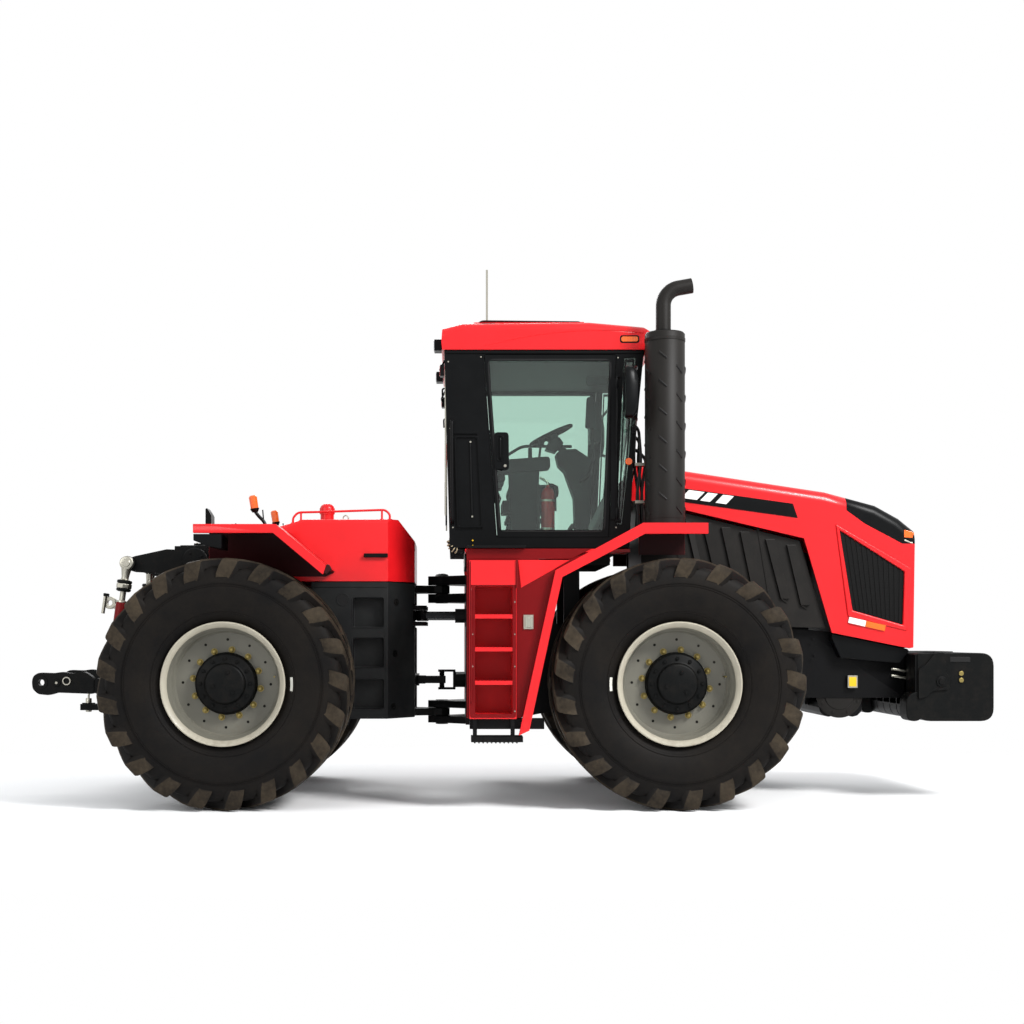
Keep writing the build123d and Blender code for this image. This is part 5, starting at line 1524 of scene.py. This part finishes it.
class TRACTOR_OT_tank(bpy.types.Operator):
    """Fit the tank's handles, rails, filler and lifting eye."""
    bl_idname = "tractor.tank"
    bl_label = "Tank fittings"

    def execute(self, context):
        # the tank's downward faces keep their painted shade in darker red
        reshaped("fuel_tank", "rear", "red side_red", TANK_MOVES, cut=TANK_CUT, bevel=0.014)
        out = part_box("fuel_tank")[1].y
        bm = bmesh.new()
        # bent rail on four posts
        top, rear = 0.6, 0.606
        add_tube(bm, [(-1.642, rear, 2.108), (-1.642, rear, 2.15), (-1.605, 0.604, 2.192),
            (-1.4, top, 2.197), (-0.94, top, 2.212), (-0.903, top, 2.18), (-0.903, top, 2.137)], 0.009,
            10, 0.05)
        add_tube(bm, [(-1.581, rear, 2.126), (-1.581, 0.604, 2.193)], 0.008, 10)
        add_tube(bm, [(-0.963, top, 2.137), (-0.963, top, 2.211)], 0.008, 10)
        feet = ((-1.642, rear, 2.11), (-1.581, rear, 2.128), (-0.903, top, 2.138), (-0.963, top, 2.138))
        for foot in feet:
            add_disc(bm, foot, (0, 0, 1), 0.018, 0.004, 16, 0, 0.001)
        finish_pair(bm, "tank_rail", "rear", "red", angle=45, replaces=["handrail"])
        bm = bmesh.new()
        add_block(bm, (-1.099, -0.915), (out + 0.012, out + 0.03), (1.845, 1.876))
        for x in (-1.08, -0.934):
            add_block(bm, (x - 0.012, x + 0.012), (out - 0.002, out + 0.014), (1.848, 1.873))
        finish_pair(bm, "tank_handle", "rear", "satin", bevel=0.006, segments=3)
        # filler neck with its ribbed cap, and the lifting eye
        spot = Vector((-1.394, -0.44, 0))
        bm = bmesh.new()
        add_lathe(bm, mm("2138 66, 2146 66, 2150 52, 2188 52, 2190 56, 2236 56, 2252 50, 2264 38, 2271 20, "
            "2272 0"), spot, "Z", 48)
        for turn in range(16):
            angle = math.tau * turn / 16
            ray = Vector((math.cos(angle), math.sin(angle), 0)) * 0.0555
            add_tube(bm, [spot + ray + Vector((0, 0, 2.192)), spot + ray + Vector((0, 0, 2.236))], 0.0035, 6)
        finish_piece(bm, "filler_cap", "rear", "red", angle=40)
        bm = bmesh.new()
        eye = Vector((-1.25, -0.44, 2.162))
        add_lathe(bm, ring_section(0.02, 0.005, 10), eye, "Y", 28, closed=True)
        add_disc(bm, (eye.x, eye.y, 2.138), (0, 0, 1), 0.014, 0.006, 16, 0, 0.001)
        finish_piece(bm, "lifting_eye", "rear", "zinc", angle=50)
        return {"FINISHED"}


# the crest ends further back than the solid's, with a thinner lip
FENDER_MOVES = (
    (-1.564, 2.047, -0.121, 0.0), (-1.568, 2.031, -0.123, 0.0), (-1.58, 1.975, -0.124, 0.009),
    (-1.3, 1.7, -0.09, 0.0), (-1.078, 1.722, -0.242, 0.018), (-1.078, 1.65, -0.272, 0.038),
    (-1.086, 1.708, -0.244, 0.02), (-2.275, 2.031, 0.0, 0.0), (-2.275, 1.975, 0.0, 0.009),
)


class TRACTOR_OT_rear_fenders(bpy.types.Operator):
    """Paint shade on the rear fenders' insides and hang their lamps."""
    bl_idname = "tractor.rear_fenders"
    bl_label = "Rear fenders"

    def execute(self, context):
        # the fenders' undersides and inner walls keep their painted shade in darker red
        reshaped("rear_fenders", "rear", "red dark_red", FENDER_MOVES, bevel=0.006)
        # tail lamps in a slanted black housing under the crest
        bm = bmesh.new()
        add_prism(bm, mm("-2273 1976, -2072 1976, -2072 1872, -2165 1888, -2273 1930"), "Y", 1.06, 1.386)
        for y, wide, material in ((1.31, 0.055, 1), (1.225, 0.025, 2), (1.15, 0.045, 3)):
            add_block(bm, (-2.275, -2.268), (y - wide, y + wide), (1.936, 1.97), material)
        finish_pair(bm, "tail_lamp", "rear", "satin red_lens amber clear", bevel=0.004, slot="amber_lens")
        # folded hook at the crest's front end
        bm = bmesh.new()
        add_prism(bm, mm("-1330 1748, -1316 1760, -1302 1756, -1284 1722, -1328 1690, -1346 1704"), "Y",
            1.344, 1.392)
        finish_pair(bm, "fender_hook", "rear", "dark_red", bevel=0.004)
        # beacon leaning on its stalk, cable beside it, and a flat work lamp at the fender's end
        bm = bmesh.new()
        y = 0.7
        lean = Vector((-0.16, 0, 1.0)).normalized()
        add_lathe(bm, mm("-56 20, -50 30, 40 32, 52 22"), (-1.93, y, 2.26), lean, 24)
        add_lathe(bm, mm("-74 22, -52 34, -46 34"), (-1.93, y, 2.26), lean, 24, 1)
        add_tube(bm, [(-1.922, y, 2.196), (-1.896, y, 2.16), (-1.846, y, 2.11), (-1.83, y, 2.046)], 0.013,
            10, 0.03, 1)
        add_tube(bm, [(-1.852, y, 2.09), (-1.862, y, 2.204)], 0.005, 8, 0.0, 1)
        add_disc(bm, (-1.83, y, 2.046), (0, 0, 1), 0.03, 0.008, 20, 1, 0.002)
        finish_pair(bm, "beacon", "rear", "amber satin", replaces=["rear_lamps"])
        bm = bmesh.new()
        add_prism(bm, mm("-2272 2046, -2272 2198, -2262 2206, -2238 2170, -2228 2150, -2228 2046"), "Y", 0.69,
            0.85)
        add_prism(bm, mm("-2275 2080, -2275 2190, -2271 2190, -2271 2080"), "Y", 0.705, 0.835, 1)
        finish_pair(bm, "fender_lamp", "rear", "satin clear", bevel=0.004)
        return {"FINISHED"}


# lower link in the side view: x, z round it
LINK_LINE = mm("-2440 745, -2440 838, -2600 850, -3050 906, -3185 925, -3232 960, -3262 974, -3320 962, "
    "-3360 960, -3427 972, -3494 962, -3610 966, -3650 940, -3661 900, -3655 840, -3612 800, -3528 792, "
    "-3461 812, -3300 800, -3100 800, -2700 750")


def bored_to(outline, centre, radius):
    """A ring of points on a circle, one on the ray to each point of an outline."""
    rays = [(Vector(point) - Vector(centre)).normalized() for point in outline]
    return [tuple(Vector(centre) + ray * radius) for ray in rays]


class TRACTOR_OT_linkage(bpy.types.Operator):
    """Forge the linkage: arms, adjusting rods, draft links with hooks, and the top link."""
    bl_idname = "tractor.linkage"
    bl_label = "Linkage"

    def execute(self, context):
        # ball joint, knurled lock nut, bright screw and red sleeve over the fork
        tip, foot = (Vector((-2.935, 0.48, 1.81)), Vector((-3.042, 0.48, 1.03)))
        run = (foot - tip).normalized()
        bm = bmesh.new()
        add_lathe(bm, mm("-44 46, -40 53, 34 53, 38 46, 38 30, 42 26, 42 0"), tip, (0, 1, 0), 40)
        add_lathe(bm, mm("-46 0, -46 53, -38 56.5, -10 56.5, -8 53"), tip, (0, 1, 0), 40, 1)
        add_lathe(bm, mm("40 40, 110 28, 125 30, 132 44"), tip, run, 28)
        add_lathe(bm, mm("132 50, 138 58, 152 58, 156 52"), tip, run, 28, 1)
        add_lathe(bm, mm("156 54, 162 60, 192 60, 198 54"), tip, run, 8)
        add_lathe(bm, mm("198 52, 204 58, 216 54, 222 40"), tip, run, 28, 1)
        add_tube(bm, [tip + run * 0.22, tip + run * 0.305], 0.023, 20)
        add_lathe(bm, mm("290 24, 292 36, 306 38, 308 30"), tip, run, 24)
        add_lathe(bm, mm("306 40, 316 45, 640 45, 650 36, 660 26, 790 26"), tip, run, 28, 2)
        for y in (0.425, 0.535):
            add_prism(bm, rounded(mm("-3104 792, -3104 1010, -3016 1010, -3016 792"), 0.035), "Y", y - 0.014,
                y + 0.014, 3)
        add_block(bm, (-3.104, -3.016), (0.411, 0.549), (1.002, 1.039), 3)
        add_lathe(bm, mm("0 36, 12 36, 14 32"), (-3.06, 0.549, 0.85), (0, 1, 0), 24)
        finish_pair(bm, "adjusting_rod", "lift_rods", "zinc cast side_red cast", bevel=0.002,
            angle=40, replaces=["lift_rods"])
        # draft link: forged bar, then a quick hook with its latch
        bm = bmesh.new()
        add_prism(bm, rounded(LINK_LINE[:5] + [(-3.185, 0.803)] + LINK_LINE[-2:], 0.03), "Y", 0.452, 0.508)
        hook = rounded(LINK_LINE[4:18] + [(-3.185, 0.802)], 0.02)
        add_skewed_frame(bm, hook, bored_to(hook, (-3.59, 0.89), 0.026), 0.442, 0.518)
        add_lathe(bm, mm("-42 26, -42 52, 42 52, 42 26"), (-3.59, 0.48, 0.89), "Y", 40, closed=True)
        add_disc(bm, (-3.47, 0.516, 0.888), (0, 1, 0), 0.03, 0.01, 24, 0, 0.003)
        add_lathe(bm, mm("0 26, 0 34, 14 32, 14 24"), (-3.392, 0.516, 0.902), (0, 1, 0), 28, 1, closed=True)
        add_disc(bm, (-3.47, 0.524, 0.888), (0, 1, 0), 0.01, 0.006, 16, 1, 0.001)
        add_block(bm, (-2.54, -2.421), (0.331, 0.452), (0.746, 0.834))
        add_lathe(bm, mm("-12 24, 12 24"), (-2.48, 0.325, 0.79), "Y", 24, 1)
        finish_pair(bm, "draft_link", "lower_links", "cast zinc", bevel=0.006, angle=40,
            replaces=["lower_links"])
        # boss and grease cap of the arm
        bm = bmesh.new()
        add_lathe(bm, mm("0 96, 12 96, 20 88, 20 40, 26 34, 26 0"), (-2.42, 0.439, 1.835), (0, 1, 0), 40)
        add_hexes(bm, [(-2.42 + 0.062 * math.cos(a), 0.459, 1.835 + 0.062 * math.sin(a))
            for a in (0.5, 2.1, 3.6, 5.2)], (0, 1, 0), 0.016, 0.008)
        finish_pair(bm, "arm_boss", "lift_arms", "cast", angle=40)
        # top link: pin eye, sleeve, bright screw, and a ball end with its handle
        pin, ball = Vector((-2.68, 0, 1.33)), Vector((-3.17, 0, 1.515))
        run = (ball - pin).normalized()
        reach = (ball - pin).length
        bm = bmesh.new()
        for spot, ring, bore in ((pin, 0.042, 0.023), (ball, 0.05, 0.0225)):
            add_lathe(bm, [(-0.035, ring - 0.004), (-0.031, ring), (0.031, ring), (0.035, ring - 0.004),
                (0.035, bore), (-0.035, bore)], spot, "Y", 40, 1 if spot is pin else 0, closed=True)
        add_lathe(bm, mm("38 24, 60 32, 330 34, 340 46, 388 46, 394 36"), pin, run, 24, 1)
        add_lathe(bm, [(0.394, 0.03), (0.398, 0.037), (0.476, 0.037), (0.484, 0.03), (reach - 0.036, 0.026)],
            pin, run, 28)
        add_tube(bm, [ball + Vector((-0.03, -0.04, 0.062)), ball + Vector((-0.052, -0.04, -0.086))], 0.014,
            14)
        add_lathe(bm, mm("0 16, 4 24, 22 24, 26 16"), ball + Vector((-0.026, -0.04, 0.05)), (0.13, 0, 1), 20,
            1)
        finish_piece(bm, "top_link_screw", "top_link", "zinc cast", bevel=0.002, angle=40,
            replaces=["top_link"])
        return {"FINISHED"}


class TRACTOR_OT_hitch(bpy.types.Operator):
    """Fit the lift housing's cover and valves, the drawbar's pin and the hose couplers."""
    bl_idname = "tractor.hitch"
    bl_label = "Hitch fittings"

    def execute(self, context):
        bm = bmesh.new()
        # bolted cover and ribs on the housing
        add_prism(bm, rounded(mm("-2548 1700, -2548 1950, -2345 1950, -2285 1700"), 0.03), "Y", -0.312, 0.312)
        for side in (-1, 1):
            corners = mm("-2520 1730, -2520 1920, -2370 1920, -2325 1730")
            spots = [(x, side * 0.312, z) for x, z in corners]
            add_hexes(bm, spots, (0, side, 0), 0.018, 0.01)
        add_block(bm, (-2.48, -2.36), (-0.12, 0.12), (1.958, 1.985))
        add_hexes(bm, [(x, y, 1.984) for x in (-2.46, -2.38) for y in (-0.095, 0.095)], (0, 0, 1), 0.014,
            0.008, 1)
        finish_piece(bm, "lift_cover", "rear", "cast zinc", bevel=0.004, angle=40)
        # couplers in two rows on their plate, with bright sleeves and dust caps
        bm = bmesh.new()
        add_block(bm, (-2.645, -2.618), (-0.24, 0.24), (1.54, 1.76))
        for row, z in enumerate((1.6, 1.7)):
            for y in (-0.195, -0.117, -0.039, 0.039, 0.117, 0.195):
                add_lathe(bm, mm("0 22, 30 22, 34 28, 75 28, 82 20"), (-2.644, y, z), (-1, 0, 0), 20, 1)
                add_disc(bm, (-2.725, y, z), (-1, 0, 0), 0.024, 0.016, 16, 2 if row else 3, 0.004)
        finish_piece(bm, "hose_couplers", "rear", "black zinc red_lens satin", angle=40, slot="chrome_rod")
        # lift rams' valves beside the arms
        bm = bmesh.new()
        for side in (-1, 1):
            y = side * 0.3
            add_block(bm, (-2.79, -2.64), (y - 0.04, y + 0.04), (1.56, 1.62))
            add_tube(bm, [(-2.78, y, 1.59), (-2.795, y, 1.66), (-2.795, y, 1.735)], 0.022, 14, 0.0, 1)
            add_lathe(bm, mm("0 30, 20 33, 40 30"), (-2.795, y, 1.65), "Z", 6, 1)
            add_lathe(bm, mm("0 24, 12 28, 50 28, 60 18"), (-2.786, y, 1.59), (-1, 0, 0.2), 20, 1)
            add_tube(bm, [(-2.795, y, 1.735), (-2.76, y, 1.77), (-2.64, y * 0.9, 1.72), (-2.6, y * 0.8, 1.6)],
                0.013, 10, 0.05, 2)
        finish_piece(bm, "lift_valves", "rear", "black zinc hose", bevel=0.003, angle=40, slot="chrome_rod")
        # drawbar pin with its handle, and the power take-off guard
        bm = bmesh.new()
        add_lathe(bm, mm("640 20, 644 24, 745 24, 750 20"), (-3.345, 0, 0), "Z", 28)
        add_tube(bm, mm("-3345 0 745, -3345 0 790, -3290 0 810"), 0.008, 10, 0.02)
        add_lathe(bm, mm("704 25.5, 704 52, 712 52, 712 25.5"), (-3.345, 0, 0), "Z", 32, 1, closed=True)
        finish_piece(bm, "drawbar_pin", "rear", "zinc cast", angle=40)
        bm = bmesh.new()
        add_lathe(bm, mm("0 100, 6 110, 20 110, 24 40, 26 38"), (-2.62, 0, 1.08), (-1, 0, 0), 36)
        add_lathe(bm, mm("0 22, 120 22, 124 19"), (-2.644, 0, 1.08), (-1, 0, 0), 12, 1)
        add_hexes(bm, [(-2.64, 0.085 * math.cos(a), 1.08 + 0.085 * math.sin(a))
            for a in [math.tau * k / 8 for k in range(8)]], (-1, 0, 0), 0.014, 0.008, 1)
        add_prism(bm, mm("-2620 1230, -2800 1215, -2800 1205, -2620 1220"), "Y", -0.18, 0.18)
        finish_piece(bm, "power_take_off", "rear", "cast zinc", angle=40)
        return {"FINISHED"}


class TRACTOR_OT_hinge(bpy.types.Operator):
    """Dress the hinge between the halves: its cap and bolts."""
    bl_idname = "tractor.hinge"
    bl_label = "Hinge"

    def execute(self, context):
        x = -0.509
        bm = bmesh.new()
        # domed cap and its flange over the upper fork, with six bolts
        add_lathe(bm, mm("1700 86, 1716 84, 1724 60, 1742 46, 1749 20, 1750 0"), (x, 0, 0), "Z", 36)
        add_hexes(bm, [(x + 0.07 * math.cos(a), 0.07 * math.sin(a), 1.718)
            for a in [math.tau * k / 6 for k in range(6)]], (0, 0, 1), 0.014, 0.01, 1)
        finish_piece(bm, "hinge_cap", "front", "cast zinc", angle=40)
        # front frame and bulkhead, ending where the ladder panels end
        for node in ("front_frame", "hinge_bulkhead"):
            reshaped(node, "front", "black", ((-0.4, 0.0, 0.078, 0.0), (-0.33, 0.0, 0.034, 0.0)))
        # corrugated conduit under the cab's corner
        bm = bmesh.new()
        spots = rounded_route(mm("-350 -780 1975, -440 -810 1962, -425 -820 1905, -348 -800 1890"), 0.05)
        add_tube(bm, spots, 0.024, 12, 0.0, 1)
        for spot, after in zip(spots[::2], spots[1::2]):
            add_disc(bm, spot, after - spot, 0.034, 0.007, 18, 0, 0.002)
        finish_piece(bm, "conduit", "front", "conduit hose")
        # bolts of the ears and forks
        for label, side in SIDES:
            bm = bmesh.new()
            spots = [(-0.759, side * y, z) for y in (0.12, 0.2) for z in (1.54, 0.76)]
            add_hexes(bm, spots, (1, 0, 0), 0.024, 0.014, 1)
            finish_piece(bm, f"ear_bolts_{label}", "rear", "cast zinc", slot="chrome_rod")
        return {"FINISHED"}


# ---------------------------------------------------------------------------
# Stage: floor, light and camera
# ---------------------------------------------------------------------------
def seen_white(tree, lit, seen):
    """A shader that is one thing to the lamps and another to eye, gloss and glass rays."""
    path = put(tree, "LightPath").outputs
    shown = path["Is Camera Ray"]
    for ray in ("Is Transmission Ray", "Is Glossy Ray"):
        shown = put(tree, "Math", {0: shown, 1: path[ray]}, operation="MAXIMUM").outputs[0]
    return put(tree, "MixShader", {0: shown, 1: lit, 2: seen}).outputs[0]


def make_world():
    """Even white sky: plain ambient light, and pure white where the eye looks past the floor."""
    world = bpy.data.worlds.new("studio_sky")
    bpy.context.scene.world = world
    world.use_nodes = True
    tree = world.node_tree
    tree.nodes.clear()
    place = put(tree, "TexCoord").outputs["Generated"]
    height = put(tree, "SeparateXYZ", {"Vector": place}).outputs["Z"]
    # brighter overhead, darker at the ground line, so gloss has something to show
    band = put(tree, "MapRange", {"Value": height, "From Min": -0.12, "From Max": 0.35, "To Min": 0.18,
                                  "To Max": 0.92}, interpolation_type="SMOOTHSTEP").outputs[0]
    lit = put(tree, "Background", {"Color": linear("F4F7FA"), "Strength": band}).outputs[0]
    seen = put(tree, "Background", {"Color": linear("FFFFFF"), "Strength": 1.0}).outputs[0]
    put(tree, "OutputWorld", {"Surface": seen_white(tree, lit, seen)})


def make_floor():
    """A plain pale floor that keeps the tractor's shadow and fades to white further out."""
    bm = bmesh.new()
    bmesh.ops.create_circle(bm, cap_ends=True, segments=96, radius=30.0)
    mesh = bpy.data.meshes.new("floor")
    bm.to_mesh(mesh)
    bm.free()
    floor = bpy.data.objects.new("floor", mesh)
    bpy.context.scene.collection.objects.link(floor)
    material, tree, shader, place = blank("pale_floor_paint")
    wire(tree, shader, {"Base Color": linear("F2F2F2"), "Roughness": 0.9})
    stretched = put(tree, "VectorMath", {0: place, 1: (0.55, 1.0, 1.0)}, operation="MULTIPLY").outputs[0]
    away = put(tree, "VectorMath", {0: stretched}, operation="LENGTH").outputs["Value"]
    fade = put(tree, "MapRange", {"Value": away, "From Min": 1.9, "From Max": 5.2},
               interpolation_type="SMOOTHSTEP").outputs[0]
    clear = put(tree, "BsdfTransparent").outputs[0]
    faded = put(tree, "MixShader", {0: fade, 1: shader.outputs[0], 2: clear}).outputs[0]
    # only the eye sees the fade; light still bounces off the whole floor
    wire(tree, tree.nodes["Material Output"], {"Surface": seen_white(tree, shader.outputs[0], faded)})
    mesh.materials.append(material)


def make_lamp(name, spot, target, size, watts):
    """A soft white lamp aimed at a point."""
    light = bpy.data.lights.new(name, "AREA")
    light.shape = "RECTANGLE"
    light.size, light.size_y = size
    light.energy = watts
    lamp = bpy.data.objects.new(name, light)
    bpy.context.scene.collection.objects.link(lamp)
    lamp.location = spot
    lamp.rotation_euler = (Vector(target) - Vector(spot)).to_track_quat("-Z", "Y").to_euler()


class TRACTOR_OT_stage(bpy.types.Operator):
    """Set the floor, the soft lamps and the camera."""
    bl_idname = "tractor.stage"
    bl_label = "Stage"

    def execute(self, context):
        scene = context.scene
        make_world()
        make_floor()
        make_lamp("key", (6.5, -7.5, 8.5), (0.0, 0.0, 1.4), (3.5, 3.5), 1750)
        make_lamp("fill", (-8.0, -7.5, 4.5), (-1.0, 0.0, 1.2), (5.0, 4.0), 230)
        make_lamp("back", (-2.0, 9.0, 8.0), (0.0, 0.0, 1.6), (6.0, 4.0), 600)
        optics = bpy.data.cameras.new("camera")
        optics.lens, optics.sensor_width = 54.46, 36.0
        optics.shift_x, optics.shift_y = 0.057, 0.122
        camera = bpy.data.objects.new("camera", optics)
        scene.collection.objects.link(camera)
        camera.location = (-0.415, -12.438, 1.241)
        camera.rotation_euler = (math.radians(90), 0, 0)
        scene.camera = camera
        scene.view_settings.view_transform = "Standard"
        return {"FINISHED"}


# ---------------------------------------------------------------------------
# Panel and running
# ---------------------------------------------------------------------------
PIECES = (TRACTOR_OT_stage, TRACTOR_OT_finishes, TRACTOR_OT_tyres, TRACTOR_OT_rims, TRACTOR_OT_hood_trim,
          TRACTOR_OT_side_panels, TRACTOR_OT_doors, TRACTOR_OT_cab_panels, TRACTOR_OT_roof,
          TRACTOR_OT_seat, TRACTOR_OT_cab_inside, TRACTOR_OT_cab_fittings, TRACTOR_OT_exhaust,
          TRACTOR_OT_mirrors, TRACTOR_OT_front_fenders, TRACTOR_OT_ladders, TRACTOR_OT_nose_frame,
          TRACTOR_OT_weights, TRACTOR_OT_side_units, TRACTOR_OT_tank, TRACTOR_OT_rear_fenders,
          TRACTOR_OT_linkage, TRACTOR_OT_hitch, TRACTOR_OT_hinge)


class TRACTOR_PT_looks(bpy.types.Panel):
    """The tractor's pieces, in the order they are made."""
    bl_idname = "TRACTOR_PT_looks"
    bl_label = "Tractor"
    bl_space_type = "VIEW_3D"
    bl_region_type = "UI"
    bl_category = "Tractor"

    def draw(self, context):
        for sizes in (context.scene.tractor_colours, context.scene.tractor_tyre, context.scene.tractor_rim):
            box = self.layout.box()
            for key in sizes.bl_rna.properties.keys():
                if key not in {"rna_type", "name"}:
                    box.prop(sizes, key)
        for piece in PIECES:
            self.layout.operator(piece.bl_idname)


CLASSES = (TractorColours, TyreSizes, RimSizes) + PIECES + (TRACTOR_PT_looks,)


def register():
    for item in CLASSES:
        bpy.utils.register_class(item)
    bpy.types.Scene.tractor_colours = PointerProperty(type=TractorColours)
    bpy.types.Scene.tractor_tyre = PointerProperty(type=TyreSizes)
    bpy.types.Scene.tractor_rim = PointerProperty(type=RimSizes)


def unregister():
    del bpy.types.Scene.tractor_rim
    del bpy.types.Scene.tractor_tyre
    del bpy.types.Scene.tractor_colours
    for item in reversed(CLASSES):
        bpy.utils.unregister_class(item)


def main():
    register()
    for piece in PIECES:
        group, name = piece.bl_idname.split(".")
        getattr(getattr(bpy.ops, group), name)()


if __name__ == "__main__":
    main()
